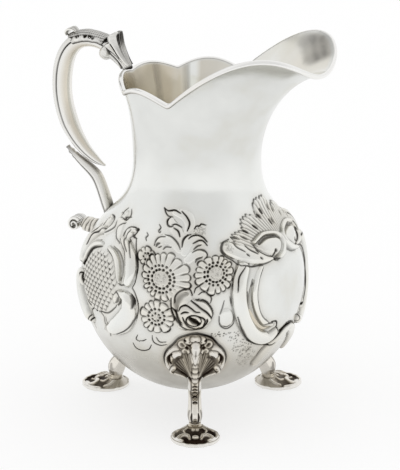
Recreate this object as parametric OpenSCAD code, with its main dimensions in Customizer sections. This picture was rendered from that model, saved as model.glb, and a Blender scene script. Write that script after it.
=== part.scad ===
// Silver milk jug: a raised pear-shaped body with a wavy rim and a broad lip, a double-scroll
// handle with leaf work, and three legs with shell knees and shell feet.
// Millimetres. +X points to the lip, -X to the handle, +Z is up, and the feet stand on z = 0.
// Each piece is drawn around the axis of the body and then moved by axis_x, which brings the
// middle of the whole jug to x = 0.

/* [Body] */
// Largest radius of the belly
belly_r = 47.5; // [46.5:0.1:48.5]
// Height of the widest ring of the belly
belly_z = 57.3; // [56.5:0.1:58]
// Height of the underside above the table
bottom_z = 8.5; // [8:0.1:9.5]
// Mean radius of the neck where it is narrowest
waist_r = 26.9; // [26.5:0.1:27.5]
// Shift of the neck towards the lip
waist_shift = 2; // [1:0.1:2.2]
// Height of the narrowest part of the neck
waist_z = 110; // [109:0.5:111]
// Pull of the belly on the curve of the shoulder
shoulder_low = 31; // [28:0.5:33]
// Pull of the neck on the curve of the shoulder
shoulder_high = 27.5; // [25:0.5:30]
// Thickness of the sheet
wall = 0.9; // [0.8:0.1:1.2]

/* [Chasing] */
// Height of the scrolls that frame the cartouches
frame_rise = 2.3; // [1.8:0.1:2.5]
// Height of the large leaves
leaf_rise = 1.9; // [1.4:0.1:2.1]
// Height of the daisies
daisy_rise = 1; // [0.6:0.1:1.3]
// Height of the rose
rose_rise = 3; // [2.4:0.1:3.2]

/* [Rim and lip] */
// Reach of the lip from the axis of the body
lip_reach = 61.2; // [60:0.1:62]
// Height of the pouring edge
lip_z = 153.4; // [152:0.1:155]
// Height that pulls the shoulders of the lip up
lip_pull_z = 183.5; // [178:0.5:185]
// Half the width of the rim at its sides
rim_half = 32.4; // [31.5:0.1:33]
// Height of the notches in the rim
notch_z = 141; // [140:0.5:142]
// Rise of the rim between the two notches of one side
side_rise = 4; // [3:0.5:5]
// Rise of the rim at the handle
back_rise = 2.7; // [2:0.1:3]
// Radius of the rim at the handle
back_r = 30.2; // [29.8:0.1:30.5]
// Height of the wire along the rim
wire_h = 1.7; // [1.4:0.1:2]
// Thickness of the wire along the rim
wire_t = 1.1; // [0.8:0.1:1.3]

/* [Handle] */
// Reach of the handle from the axis of the body
handle_reach = 67.8; // [67:0.1:69]
// Half the thickness of the upper scroll
scroll_half = 4.2; // [3.8:0.1:4.5]
// Half the breadth of the upper scroll
scroll_side = 3.7; // [3.3:0.1:4]
// Thickness of the leaves of the handle
leaf_t = 1.9; // [1.5:0.1:2.2]
// Radius of the rolled end
tail_r = 2.9; // [2.7:0.1:3.1]

/* [Legs] */
// Distance of the middle of a foot from the axis of the body
foot_reach = 43.5; // [42.5:0.1:44.5]
// Radius of a foot
foot_r = 10.2; // [9.5:0.1:11]
// Distance of an ankle from the axis of the body
ankle_reach = 38.4; // [37.8:0.1:39]
// Height of an ankle above the table
ankle_z = 4; // [3.6:0.1:4.4]
// Half the width of a knee shell
knee_half = 12.4; // [11.5:0.1:13]
// Half the width of a shank
shank_half = 2.9; // [2.6:0.1:3.1]

/* [Hidden] */
// Thickness of the solder between two pieces
solder = 0.05;
// Height of the outer edge of a foot
foot_edge = 1.1;
// Columns around one half of the rim: lip, side and back
lip_cols = 16;
side_cols = 10;
back_cols = 10;
// Move that brings the middle of the jug to x = 0
axis_x = (handle_reach - lip_reach - wire_t / 2) / 2;
// Distance of the first notch from the axis of the body, towards the lip
notch_x = 6.2;
// Angle of the second notch from the lip
back_notch = 131.5;
// Bowl angles, down from the widest ring, of the lower and upper ends of a knee
knee_low = 48.5;
knee_high = 15.6;

function mix(a, b, t) = a + (b - a) * t;
function unit(v) = v / norm(v);

// Point at t on the cubic curve of four points
function curve(p, t) =
    p[0] * pow(1 - t, 3) + p[1] * 3 * t * pow(1 - t, 2)
    + p[2] * 3 * t * t * (1 - t) + p[3] * t * t * t;

// Faces between rings of n and m points that start at a and b; one may have twice the points
function between(a, n, b, m) = [
    for (i = [0:min(n, m) - 1])
        let (k = (i + 1) % min(n, m))
        each n == m ? [[a + i, b + i, b + k], [a + i, b + k, a + k]]
            : n < m ? [[a + i, b + 2 * i, b + 2 * i + 1], [a + i, b + 2 * i + 1, a + k],
                       [a + k, b + 2 * i + 1, b + 2 * k]]
            : [[a + 2 * i, b + i, a + 2 * i + 1], [a + 2 * i + 1, b + i, b + k],
               [a + 2 * i + 1, b + k, a + 2 * k]]
];

// Closed solid through rings of points, with a flat face on the first and last ring
module skin(rings) {
    last = len(rings) - 1;
    n = [for (r = rings) len(r)];
    start = [for (j = 0, s = 0; j <= last; s = s + n[j], j = j + 1) s];
    sides = [for (j = [0:last - 1]) each between(start[j], n[j], start[j + 1], n[j + 1])];
    ends = [[for (i = [0:n[0] - 1]) i], [for (i = [n[last] - 1:-1:0]) start[last] + i]];
    polyhedron([for (r = rings) each r], concat(sides, ends), convexity = 8);
}

// Closed ring-shaped solid through rings of points
module loop(rings) {
    n = len(rings[0]);
    m = len(rings);
    sides = [
        for (j = [0:m - 1], i = [0:n - 1])
            let (k = (i + 1) % n, q = (j + 1) % m)
            each [[j * n + i, q * n + i, q * n + k], [j * n + i, q * n + k, j * n + k]]
    ];
    polyhedron([for (r = rings) each r], sides, convexity = 8);
}

// The rim, from the middle of the lip to the handle, on the +Y side
function lip(t) =
    curve([[notch_x, rim_half, notch_z], [55, rim_half + 3.2, lip_pull_z],
           [lip_reach, 18, lip_z - 1], [lip_reach, 0, lip_z]], t);
function arc_point(a, r, z) = [r * cos(a), r * sin(a), z];
side_start = atan2(rim_half, notch_x);
function side(t) =
    arc_point(mix(side_start, back_notch, t), mix(norm([notch_x, rim_half]), back_r, t),
              notch_z + side_rise * sin(180 * t));
function back(t) = arc_point(mix(back_notch, 180, t), back_r, notch_z + back_rise * sin(90 * t));

half_rim = concat(
    [for (i = [0:lip_cols]) lip(pow(1 - i / lip_cols, 1.5))],
    [for (i = [1:side_cols]) side(i / side_cols)],
    [for (i = [1:back_cols]) back(i / back_cols)]
);
other_half = [for (i = [len(half_rim) - 2:-1:1]) [half_rim[i].x, -half_rim[i].y, half_rim[i].z]];
rim = concat(half_rim, other_half);
cols = len(rim);

// Radius and height on the three stretches of the body
function waist(a) = waist_r + waist_shift * cos(a);
function bowl(t) = [belly_r * sin(90 * t), belly_z - (belly_z - bottom_z) * cos(90 * t)];
function shoulder(a, t) =
    curve([[belly_r, belly_z], [belly_r, belly_z + shoulder_low],
           [waist(a), waist_z - shoulder_high], [waist(a), waist_z]], t);
function flare(a, r, z, t) =
    let (s = min(1, abs(a) / 85), lean = 12 + 60 * s * s * (3 - 2 * s),
         pull = 0.34 * norm([r - waist(a), z - waist_z]))
    curve([[waist(a), waist_z], [waist(a), waist_z + 18 - 0.08 * lean],
           [r - pull * cos(lean), z - pull * sin(lean)], [r, z]], t);

// Point on the outside of the body: t runs 0 to 1 up the bowl, to 2 up the shoulder, to 3 at the rim
function spot(i, t) =
    let (c = rim[(i + cols) % cols], a = atan2(c.y, c.x),
         p = t <= 1 ? bowl(t) : t <= 2 ? shoulder(a, t - 1)
             : flare(a, norm([c.x, c.y]), c.z, t - 2))
    [p[0] * cos(a), p[0] * sin(a), p[1]];
function climb(i, t) = (spot(i, min(3, t + 0.01)) - spot(i, t - 0.01)) / (min(3, t + 0.01) - t + 0.01);
function outward(i, t) = unit(cross(spot(i + 1, t) - spot(i - 1, t), climb(i, t)));
// Lower edge of the rim wire on one column
function wire_foot(i) = 3 - wire_h / norm(climb(i, 3));

// Chased forms of the belly, at [across, up] places in a field that is drawn around one angle.
// A band is a line, the half-widths along it and a height. A boss is a middle, half-sizes, a
// height and a lean.
lip_bands = [
    [[[-26, 17.5], [-29.4, 12], [-30.9, 6], [-30.4, 0], [-27.7, -6.6], [-22.3, -12.8], [-15, -16.4],
      [-10, -14.4]], [2.6, 3.2, 3.4, 3.4, 3.3, 3.2, 3, 1.6], frame_rise],
    [[[-17.8, 16], [-21.3, 11.5], [-23.4, 6], [-23.3, 1], [-21.5, -4], [-18, -8], [-13.5, -10.2]],
     [1.1, 1.3, 1.4, 1.4, 1.4, 1.4, 1], 0.9],
    [[[0, -14.8], [-6.4, -18.9], [-10.9, -24.6], [-12.4, -30.4]], [1.8, 2.8, 3.2, 2.2], 1.6],
    [[[-27.6, 25.6], [-20, 21.5], [-15.5, 19.2], [-11, 18.2]], [4, 4, 2.6, 0.9], leaf_rise],
    [[[-16.4, 26.6], [-10.3, 29], [-4.5, 28.2], [-1.2, 25.8], [-1.2, 22.5], [-4, 19.2], [-7.6, 17.6]],
     [0.9, 1.3, 1.3, 1.3, 1.5, 1.7, 1.2], frame_rise]
];
lip_bosses = [[[-8, 23.6], [7.6, 5], leaf_rise, -12]];
spray_bands = [
    [[[-6, 27], [-6, 32], [-9.5, 39.5]], [0.8, 2.2, 1.4], 0.55],
    [[[-3.5, 34], [-2, 38], [-8, 42.5]], [0.8, 2.4, 1.2], 0.55],
    [[[-6.5, 26], [-9, 30], [-12.5, 30.5], [-16, 28]], [1.2, 2.4, 2.4, 1], 0.6],
    [[[-4.5, 25], [-3, 30], [0.5, 31.5], [4, 29.5]], [1.4, 2.4, 2.2, 0.9], 0.6]
];
spray_bosses = [
    [[-12.2, 14.4], [10.6, 10.6], daisy_rise, 0],
    [[7.8, 15.6], [8.4, 8.4], daisy_rise, 0],
    [[-16, -2.8], [7.6, 7.6], daisy_rise, 0],
    [[-20.6, 22.2], [4.2, 4.2], daisy_rise, 0],
    [[-5.6, 3], [5, 7.6], rose_rise / 2, 10],
    [[-1, -5.4], [7, 2.8], rose_rise / 2, 4],
    [[0.5, -0.3], [7.2, 6.5], rose_rise, 10],
    [[12.8, -3], [3.2, 4.2], 0.8, 0]
];
side_bands = [
    [[[2.5, 21], [8, 18.6], [11.3, 15.2], [13, 11.2]], [1, 1.3, 1.3, 1], 1.1],
    [[[7, 26], [13, 23], [17, 17.6], [18.3, 12.5], [16.8, 9.6], [14.6, 9.4]],
     [1.4, 2.6, 3.4, 3.2, 2, 1], frame_rise],
    [[[15.5, 4.6], [19.2, 3], [19.4, -3], [15.5, -8.6], [9.5, -11.8], [5, -12]],
     [1.4, 3, 4.4, 4.6, 4, 1.6], frame_rise],
    [[[9, 25.5], [7.2, 29], [8, 31.4], [10.6, 32.2]], [1.8, 1.6, 1.4, 0.9], 1.2],
    [[[2, 24], [1, 30], [0.2, 38]], [1.4, 2.2, 0.8], 0.9]
];
side_bosses = [[[0, 7], [12.4, 13.2], 0.5, 0], [[13.9, 2.4], [2.4, 3], 1.6, 0]];
// Fan over the lip cartouche: angles from its middle line, with the reach of its lobes
fan_root = [0, 10];
fan_edge = [
    [-54, 29.5], [-45, 31.6], [-35.5, 28.6], [-27, 31.8], [-19, 31.8], [-13, 28], [-7.5, 34.6], [0, 35]
];

function band_rise(p, band) =
    let (line = band[0], half = band[1],
         x = min([
             for (k = [0:len(line) - 2])
                 let (d = line[k + 1] - line[k], t = max(0, min(1, (p - line[k]) * d / (d * d))))
                 norm(p - line[k] - t * d) / mix(half[k], half[k + 1], t)
         ]))
    x < 1 ? band[2] * pow(1 - x * x, 0.6) : 0;
function boss_rise(p, boss) =
    let (d = p - boss[0], c = cos(boss[3]), s = sin(boss[3]),
         x = norm([(d.x * c + d.y * s) / boss[1].x, (d.y * c - d.x * s) / boss[1].y]))
    x < 1 ? boss[2] * sqrt(1 - x * x) : 0;
function field_rise(p, bands, bosses) =
    max(concat([for (b = bands) band_rise(p, b)], [for (b = bosses) boss_rise(p, b)]));
function fan_rise(p) =
    let (d = p - fan_root, lean = atan2(d.x, d.y))
    lean > -54 && lean < 54 && norm(d) > 15 && norm(d) < lookup(-abs(lean), fan_edge) ? 0.9 : 0;
// Height of the chasing at an angle a from the lip, on a ring of radius r, v above the widest ring
function chased(a, r, v) =
    let (b = -abs(a > 180 ? a - 360 : a), mm = r * PI / 180, p = [mm * b, v])
    max(b > -48 ? max(fan_rise(p), field_rise(p, lip_bands, lip_bosses)) : 0,
        b > -92 && b < -25 ? field_rise(p + [mm * 60, 0], spray_bands, spray_bosses) : 0,
        b < -85 ? field_rise([mm * abs(b + 120), v], side_bands, side_bosses) : 0);

// Millimetres up from the widest ring, with the level t there
bowl_arc = PI / 4 * (belly_r + belly_z - bottom_z);
shoulder_table = [
    for (k = 0, v = 0; k <= 60;
         v = v + norm(shoulder(90, (k + 1) / 60) - shoulder(90, k / 60)), k = k + 1)
        [v, 1 + k / 60]
];
function level(v) = v < 0 ? 1 + v / bowl_arc : lookup(v, shoulder_table);
function girth(a, t) = t <= 1 ? bowl(t) : shoulder(a, t - 1);
function belly_spot(a, v) =
    let (t = level(v), p = girth(a, t), d = unit(girth(a, t + 0.01) - girth(a, t - 0.01)),
         h = chased(a, p[0], v), r = p[0] + h * d[1])
    [r * cos(a), r * sin(a), p[1] - h * d[0]];

// The chased rings have a column at each angle of the rim and one between each two
rim_angles = concat([for (c = rim) (atan2(c.y, c.x) + 360) % 360], [360]);
belly_angles = [
    for (i = [0:cols - 1]) each [rim_angles[i], (rim_angles[i] + rim_angles[i + 1]) / 2]
];
belly_rows = concat(
    [for (k = [0:4]) mix(-34, -17, k / 5)],
    [for (k = [0:21]) mix(-17, 38.5, k / 21)],
    [42.2, 46]
);
neck_levels = [for (k = [1:7]) 2 + k / 7.6];
// The plain inside of the belly has every second column, from the neck down
inner_levels = concat(
    [2, 1.84, 1.66, 1.48, 1.33, 1.2, 1.08],
    [for (k = [0:7]) mix(0.97, 0.07, k / 7)]
);
function ring(t) = [for (i = [0:cols - 1]) spot(i, t)];
function inner_ring(t, step) = [for (i = [0:step:cols - 1]) spot(i, t) - wall * outward(i, t)];

module body() {
    color("silver")
    skin(concat(
        [for (t = [0.07, 0.25, 0.42]) ring(t)],
        [for (v = belly_rows) [for (a = belly_angles) belly_spot(a, v)]],
        [for (t = concat([1.92, 2], neck_levels)) ring(t)],
        [[for (i = [0:cols - 1]) spot(i, wire_foot(i))]],
        [ring(3), inner_ring(3, 1)],
        [for (k = [len(neck_levels) - 1:-1:0]) inner_ring(neck_levels[k], 1)],
        [for (t = inner_levels) inner_ring(t, 2)]
    ));
}

module rim_wire() {
    color("gainsboro")
    loop([
        for (i = [0:cols - 1])
            let (top = spot(i, 3), foot = spot(i, wire_foot(i)), out = outward(i, 3),
                 up = unit(top - foot))
            [top, foot, foot + out * wire_t * 0.55, mix(foot, top, 0.5) + out * wire_t,
             top + out * wire_t * 0.8 + up * 0.25, top + out * wire_t * 0.3 + up * 0.4]
    ]);
}

// Sweeps in the plane y = 0: a path of [x, z] points, with a section of [outward, sideways] points
function heading(path, k) = unit(path[min(k + 1, len(path) - 1)] - path[max(k - 1, 0)]);
function outer(path, k) = let (t = heading(path, k)) [t[1], -t[0]];
function lift(p, n, s, depth, breadth) =
    [p[0] + n[0] * s[0] * depth, s[1] * breadth, p[1] + n[1] * s[0] * depth];
function swept(path, section, depth, breadth) = [
    for (k = [0:len(path) - 1])
        [for (s = section) lift(path[k], outer(path, k), s, depth[k], breadth[k])]
];
function steps(n) = [for (k = [0:n]) k / n];
function along(table, n) = [for (t = steps(n)) lookup(t, table)];

// Section of the upper scroll: a raised band outside, a groove on each side, a bevel inside
scroll_section = [
    [1, 0], [0.95, 0.4], [0.68, 0.84], [0.58, 0.8], [0.47, 1], [-0.3, 0.96], [-0.78, 0.62], [-1, 0.22],
    [-1, -0.22], [-0.78, -0.62], [-0.3, -0.96], [0.47, -1], [0.58, -0.8], [0.68, -0.84], [0.95, -0.4]
];
round_section = [for (k = [0:11]) [cos(30 * k), sin(30 * k)]];
strip_section = [
    [1, 0], [0.88, 0.6], [0.4, 1], [-0.4, 1], [-0.88, 0.6],
    [-1, 0], [-0.88, -0.6], [-0.4, -1], [0.4, -1], [0.88, -0.6]
];

// The back of the rim, on which the handle stands
seat_z = notch_z + back_rise + 0.45 + solder;
scroll_x = scroll_half - handle_reach;
scroll_start = [-41, 152.5];
scroll_turn = [scroll_x, 133];
upper_path = concat(
    [for (t = steps(18)) curve([scroll_start, [-55, 158.5], [scroll_x, 150.5], scroll_turn], t)],
    [for (k = [1:18]) curve([scroll_turn, [scroll_x, 118.5], [-55, 103.6], [-42.8, 99.9]], k / 18)]
);
scroll_depth = along(
    [[0, 2.4], [0.25, 3.6], [0.42, scroll_half], [0.68, 4], [0.85, 2.2], [1, 0.35]], 36
);
scroll_breadth = along([[0, 3.2], [0.4, scroll_side], [0.7, scroll_side], [1, 0.7]], 36);

module handle_upper_scroll() {
    color("gainsboro") skin(swept(upper_path, scroll_section, scroll_depth, scroll_breadth));
}

scroll_heading = heading(upper_path, 0);
stem_end = scroll_start - solder * scroll_heading;
stem_path = [
    for (t = steps(12))
        curve([[-31.3, seat_z], [-34, 146.2], stem_end - 2.6 * scroll_heading, stem_end], t)
];
stem_depth = along([[0, 1.9], [0.5, 2.2], [1, 2.4]], 12);
stem_breadth = along([[0, 2.8], [0.5, 3.4], [1, 3.2]], 12);

module handle_stem() {
    color("silver") skin(concat(
        [[for (s = scroll_section) lift(stem_path[0], [1, 0], s, stem_depth[0], stem_breadth[0])]],
        [for (k = [1:11])
            [for (s = scroll_section)
                lift(stem_path[k], outer(stem_path, k), s, stem_depth[k], stem_breadth[k])]],
        [[for (s = scroll_section)
            lift(stem_end, outer(upper_path, 0), s, stem_depth[12], stem_breadth[12])]]
    ));
}

// Leaf that lies around the outside of a swept piece: the part of the section it covers, thickened
function leaf_ring(p, n, cover, depth, breadth, t) = concat(
    [for (s = cover) lift(p, n, s, depth + t, breadth + t)],
    [for (k = [len(cover) - 1:-1:0]) lift(p, n, cover[k], depth + solder, breadth + solder)]
);
leaf_cover = [
    [0.47, -1.01], [0.68, -0.86], [0.95, -0.42], [1.01, 0], [0.95, 0.42], [0.68, 0.86], [0.47, 1.01]
];

module handle_leaf_cap() {
    color("whitesmoke") skin([
        for (k = [1:9])
            let (lobe = k < 8 ? 0.85 + 0.15 * cos(120 * k) : k < 9 ? 1.5 : 0.6)
            leaf_ring(upper_path[k], outer(upper_path, k), leaf_cover, scroll_depth[k],
                      scroll_breadth[k], leaf_t * lobe)
    ]);
}

// Thumb leaf: a cupped leaf, round towards the neck, that stands on the foot of the stem
thumb_foot = stem_path[1] + outer(stem_path, 1) * (stem_depth[1] + solder + 0.8);
thumb_path = concat([thumb_foot], [
    for (t = steps(8))
        curve([[-31.3, 148.5], [-32.6, 152], [-33.4, 155.6], [-33.9, 159.9]], t)
]);
thumb_t = along([[0, 0.8], [0.5, 1.3], [0.8, 1.2], [1, 0.6]], 9);
thumb_side = along([[0, 2.2], [0.3, 3], [0.7, 4], [0.9, 3.6], [1, 1.2]], 9);
thumb_swing = along([[0, 0.4], [0.15, 1.2], [0.5, 2.4], [0.8, 4.4], [0.92, 4.2], [1, 1.6]], 9);
function thumb_ring(k) =
    let (p = thumb_path[k], n = outer(k == 0 ? stem_path : thumb_path, max(1, k)),
         w = [-1, -0.7, -0.35, 0, 0.35, 0.7, 1])
    concat(
        [for (s = w) lift(p, n, [-s * s, s], thumb_swing[k], thumb_side[k])],
        [for (j = [6:-1:0])
            lift(p - n * thumb_t[k] * (1 - 0.4 * w[j] * w[j]), n, [-w[j] * w[j], 0.96 * w[j]],
                 thumb_swing[k], thumb_side[k])]
    );

module handle_thumb_leaf() {
    color("whitesmoke") skin([for (k = [0:9]) thumb_ring(k)]);
}

// Curl leaf: a leaf around the underside of the stem, which ends in a blunt tip under the scroll
curl_t = 0.95;
function curl_ring(p, n, depth, breadth, half) =
    let (turns = [for (k = [-4:4]) 180 + half * k / 4])
    concat(
        [for (a = turns) lift(p, n, [cos(a), sin(a)], 1.04 * depth + curl_t, 1.04 * breadth + 0.7)],
        [for (k = [8:-1:0])
            lift(p, n, [cos(turns[k]), sin(turns[k])], 1.04 * depth + 0.15, 1.04 * breadth + 0.15)]
    );

module handle_curl_leaf() {
    color("whitesmoke") skin(concat(
        [for (k = [1:11])
            curl_ring(stem_path[k], outer(stem_path, k), stem_depth[k], stem_breadth[k], 92)],
        [for (k = [0:1])
            curl_ring(upper_path[k], outer(upper_path, k), scroll_depth[k], scroll_breadth[k],
                      75 - 45 * k)]
    ));
}

// Point on the shoulder under the handle, as [x, z], and the direction down the shoulder there
function handle_seat(t) =
    let (p = shoulder(180, t), q = shoulder(180, t + 0.01), d = unit(p - q))
    [[-p[0] - solder * abs(d[1]), p[1] + solder * abs(d[0])], [-d[0], d[1]]];

lower_seat = handle_seat(0.365);
lower_path = concat(
    [for (t = steps(10)) curve([[-61.3, 106], [-57, 101.4], [-51, 98.8], [-47.4, 95.2]], t)],
    [for (k = [1:8]) curve([[-47.4, 95.2], [-45.2, 93], [-43.2, 86.5], lower_seat[0]], k / 10)]
);
lower_depth = along([[0, 0.4], [0.25, 1.1], [0.5, 2.2], [0.75, 2.4], [1, 2.1]], 18);
lower_breadth = along([[0, 1], [0.3, 2.6], [1, 3.1]], 18);

module handle_lower_scroll() {
    color("gainsboro") skin(concat(
        swept(lower_path, round_section, lower_depth, lower_breadth),
        [[for (s = round_section) lift(lower_seat[0], lower_seat[1], s, 2.5, 3.2)]]
    ));
}

// Rolled end: out from the shoulder as a thick leaf, then around its own middle
tail_seat = handle_seat(0.215);
tail_eye = [-57, 72];
tail_top = tail_eye + [0, tail_r];
tail_path = concat(
    [[-48.9, 72], [-50.6, 72.2], [-52.3, 72.5], [-53.8, 73.4], [-55.4, 74.5], tail_top],
    [for (k = [1:24])
        tail_eye + mix(tail_r, 0.9, k / 24) * [cos(90 + 20 * k), sin(90 + 20 * k)]]
);

module handle_tail() {
    color("gainsboro") skin(concat(
        [[for (s = strip_section) lift(tail_seat[0], -tail_seat[1], s, 2.4, 2.6)]],
        swept(tail_path, strip_section,
            along([[0, 2.8], [0.034, 3.1], [0.068, 3], [0.104, 2], [0.138, 1.1], [0.172, 0.8],
                   [1, 0.45]], 29),
            along([[0, 2.9], [0.07, 3.6], [0.3, 3.5], [1, 3.2]], 29))
    ));
}

// Knee shells, drawn at the angle 0: q runs up the belly, p across from -1 to 1
knee_cols = 12;
across = [for (k = [0:knee_cols]) 2 * k / knee_cols - 1];
function knee_width(q) =
    knee_half * lookup(q, [[0, shank_half / knee_half], [0.15, 0.63], [0.34, 0.87], [0.57, 1],
                           [0.78, 0.9], [0.91, 0.6], [1, 0.22]]);
function knee_height(p, q) =
    0.4 + lookup(q, [[0, 5.2], [0.25, 3.9], [0.5, 2.7], [0.8, 1.8], [1, 1]])
        * pow(max(0, 1 - p * p), mix(0.5, 1.3, q)) + 0.4 * sin(180 * q) * cos(540 * p);
function knee_point(p, q, h) =
    let (g = mix(knee_low, knee_high, q), s = bowl(1 - g / 90),
         n = unit([cos(g) / belly_r, -sin(g) / (belly_z - bottom_z)]),
         a = p * knee_width(q) / s[0] * 180 / PI, r = s[0] + n[0] * h)
    [r * cos(a), r * sin(a), s[1] + n[1] * h];

module knee() {
    color("silver") skin([
        for (q = steps(13))
            concat([for (p = across) knee_point(p, q, solder + knee_height(p, q))],
                   [for (k = [knee_cols:-1:0]) knee_point(across[k], q, solder)])
    ]);
}

// Shanks, drawn at the angle 0: from the ankle up to the lower end of the knee
knee_slope = unit([sin(knee_low), cos(knee_low)]);
function shank_top(h) = let (p = knee_point(0, 0, h)) [p.x, p.z] - knee_slope * solder;
function shank_front(s) =
    curve([[ankle_reach + 2.4, ankle_z], [ankle_reach + 3.2, ankle_z + 3.5], [44.6, 11.5],
           shank_top(5.6)], s);
function shank_back(s) =
    curve([[ankle_reach - 2.4, ankle_z], [ankle_reach - 3.6, ankle_z + 3], [32, 12],
           shank_top(solder)], s);
function shank_row(p, s, near) =
    let (round = sqrt(max(0, 1 - p * p)), w = s * s,
         c = near ? mix(0.5 + 0.5 * round, 0.07 + 0.93 * round, w)
                  : mix(0.5 - 0.5 * round, 0.03 - 0.03 * round, w),
         f = shank_front(s), b = shank_back(s),
         half = shank_half * lookup(s, [[0, 0.86], [0.12, 0.88], [0.3, 1], [1, 1]]))
    [mix(b[0], f[0], c), p * half, mix(b[1], f[1], c)];
function shank_ring(s) =
    concat([for (p = across) shank_row(p, s, true)],
           [for (k = [knee_cols - 1:-1:1]) shank_row(across[k], s, false)]);

module leg() {
    color("gainsboro") skin([for (s = steps(12)) shank_ring(s)]);
}

// Feet, drawn at the angle 0: a lobed pad with a fluted top that rises to a flat seat for the shank
foot_cols = 36;
function foot_ring(t, z, flute) = [
    for (k = [0:foot_cols - 1])
        let (a = 360 * k / foot_cols, r = mix(foot_r * (1 - 0.03 * cos(9 * a)), 2.75, t))
        [mix(foot_reach, ankle_reach, t) + r * cos(a), r * sin(a), z + flute * cos(9 * a)]
];

module foot() {
    color("silver") skin([
        foot_ring(0.03, 0, 0), foot_ring(0, 0.4, 0), foot_ring(0, foot_edge, 0),
        foot_ring(0.12, foot_edge + 0.3, 0), foot_ring(0.2, foot_edge - 0.05, 0.1),
        foot_ring(0.45, foot_edge + 0.7, 0.35), foot_ring(0.72, foot_edge + 1.6, 0.3),
        foot_ring(0.93, ankle_z - solder - 0.2, 0), foot_ring(1, ankle_z - solder, 0)
    ]);
}

left = 60;
right = -60;
rear = 180;
module at(angle) {
    rotate([0, 0, angle]) children();
}

module knee_left() { at(left) knee(); }
module knee_right() { at(right) knee(); }
module knee_back() { at(rear) knee(); }
module leg_left() { at(left) leg(); }
module leg_right() { at(right) leg(); }
module leg_back() { at(rear) leg(); }
module foot_left() { at(left) foot(); }
module foot_right() { at(right) foot(); }
module foot_back() { at(rear) foot(); }

translate([axis_x, 0, 0]) {
    body();
    rim_wire();
    handle_stem();
    handle_thumb_leaf();
    handle_curl_leaf();
    handle_upper_scroll();
    handle_leaf_cap();
    handle_lower_scroll();
    handle_tail();
    knee_left();
    knee_right();
    knee_back();
    leg_left();
    leg_right();
    leg_back();
    foot_left();
    foot_right();
    foot_back();
}
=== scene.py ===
"""Looks of a silver milk jug: a chased pear-shaped body, a wavy rim, a scroll handle and three shell legs.

Shapes are worked out in millimetres around the axis of the body, with the lip towards +X, and each
piece is moved by AXIS_X and turned into metres when it becomes a mesh. A table is a list of
[place, value] pairs.
"""

import math

import bpy
import numpy as np
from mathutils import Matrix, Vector


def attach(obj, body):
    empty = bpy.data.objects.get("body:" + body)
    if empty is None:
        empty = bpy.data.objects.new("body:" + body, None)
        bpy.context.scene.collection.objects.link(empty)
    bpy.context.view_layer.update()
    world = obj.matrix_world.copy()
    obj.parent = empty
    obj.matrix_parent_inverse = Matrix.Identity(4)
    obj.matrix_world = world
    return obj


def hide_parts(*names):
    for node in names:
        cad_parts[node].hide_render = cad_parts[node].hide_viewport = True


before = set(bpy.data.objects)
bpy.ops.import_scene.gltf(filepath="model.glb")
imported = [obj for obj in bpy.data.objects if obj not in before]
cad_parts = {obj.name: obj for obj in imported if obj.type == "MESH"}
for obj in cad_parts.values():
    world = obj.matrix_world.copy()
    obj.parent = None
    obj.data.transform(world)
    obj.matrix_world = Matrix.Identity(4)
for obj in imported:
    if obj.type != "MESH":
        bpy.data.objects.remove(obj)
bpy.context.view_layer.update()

# Sizes in millimetres, most of them those of the solids
BELLY_R, BELLY_Z, BOTTOM_Z = 47.5, 57.3, 8.5
WAIST_R, WAIST_SHIFT, WAIST_Z = 26.9, 2.0, 110.0
SHOULDER_LOW, SHOULDER_HIGH = 31.0, 27.5
WALL = 0.9
LIP_REACH, LIP_Z, LIP_PULL_Z = 61.2, 153.4, 183.5
RIM_HALF, NOTCH_X, NOTCH_Z = 32.4, 6.2, 141.0
SIDE_RISE, BACK_RISE, BACK_R, BACK_NOTCH = 4.0, 2.7, 30.2, 131.5
# Between the notches and the handle the rim arches a little higher than in the solid
BACK_ARCH = 2.0
WIRE_T = 1.1
HANDLE_REACH, SCROLL_HALF, SCROLL_SIDE = 67.8, 4.2, 3.7
TAIL_R = 2.9
FOOT_REACH, FOOT_R, FOOT_EDGE = 43.5, 10.2, 1.1
ANKLE_REACH, ANKLE_Z = 38.4, 4.0
SHANK_HALF, SHANK_TALL = 2.9, 22.0
# A knee runs between two angles below the widest ring; half-widths and rises are given by its share upward
KNEE_LOW, KNEE_CREST, KNEE_TALL = 48.5, 11.5, 30.4
KNEE_WIDTH = [[0, SHANK_HALF], [0.17, 2.9], [0.22, 3.4], [0.25, 5.6], [0.285, 7.6], [0.33, 9.5],
              [0.395, 11.3], [0.46, 12.3], [0.535, 12.7], [0.61, 12.7], [0.685, 12.2], [0.76, 10.9],
              [0.82, 9.2], [0.87, 8], [0.92, 7], [0.955, 5.4], [0.98, 3.4], [1, 1.2]]
KNEE_RISE = [[0, 5.2], [0.21, 3.9], [0.43, 2.7], [0.68, 1.8], [0.85, 1], [1, 0.6]]
# Notches in the edge of a foot: place in degrees from its front, depth as a share of its radius
FOOT_NOTCHES = [(10, 0.03), (31, 0.05), (100, 0.03), (150, 0.04)]
SOLDER = 0.05
AXIS_X = (HANDLE_REACH - LIP_REACH - WIRE_T / 2) / 2
MM = 0.001
LEG_ANGLES = {"left": 60, "right": -60, "back": 180}


# Curves and arrays


def mix(a, b, t):
    return a + (b - a) * t


def cubic(a, b, c, d, t):
    """Point at t on the cubic curve of four points or arrays."""
    return a * (1 - t) ** 3 + b * 3 * t * (1 - t) ** 2 + c * 3 * t * t * (1 - t) + d * t**3


def bezier(points, steps):
    """Points along one cubic curve."""
    a, b, c, d = np.asarray(points, float)
    return cubic(a, b, c, d, np.linspace(0, 1, steps)[:, None])


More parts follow.
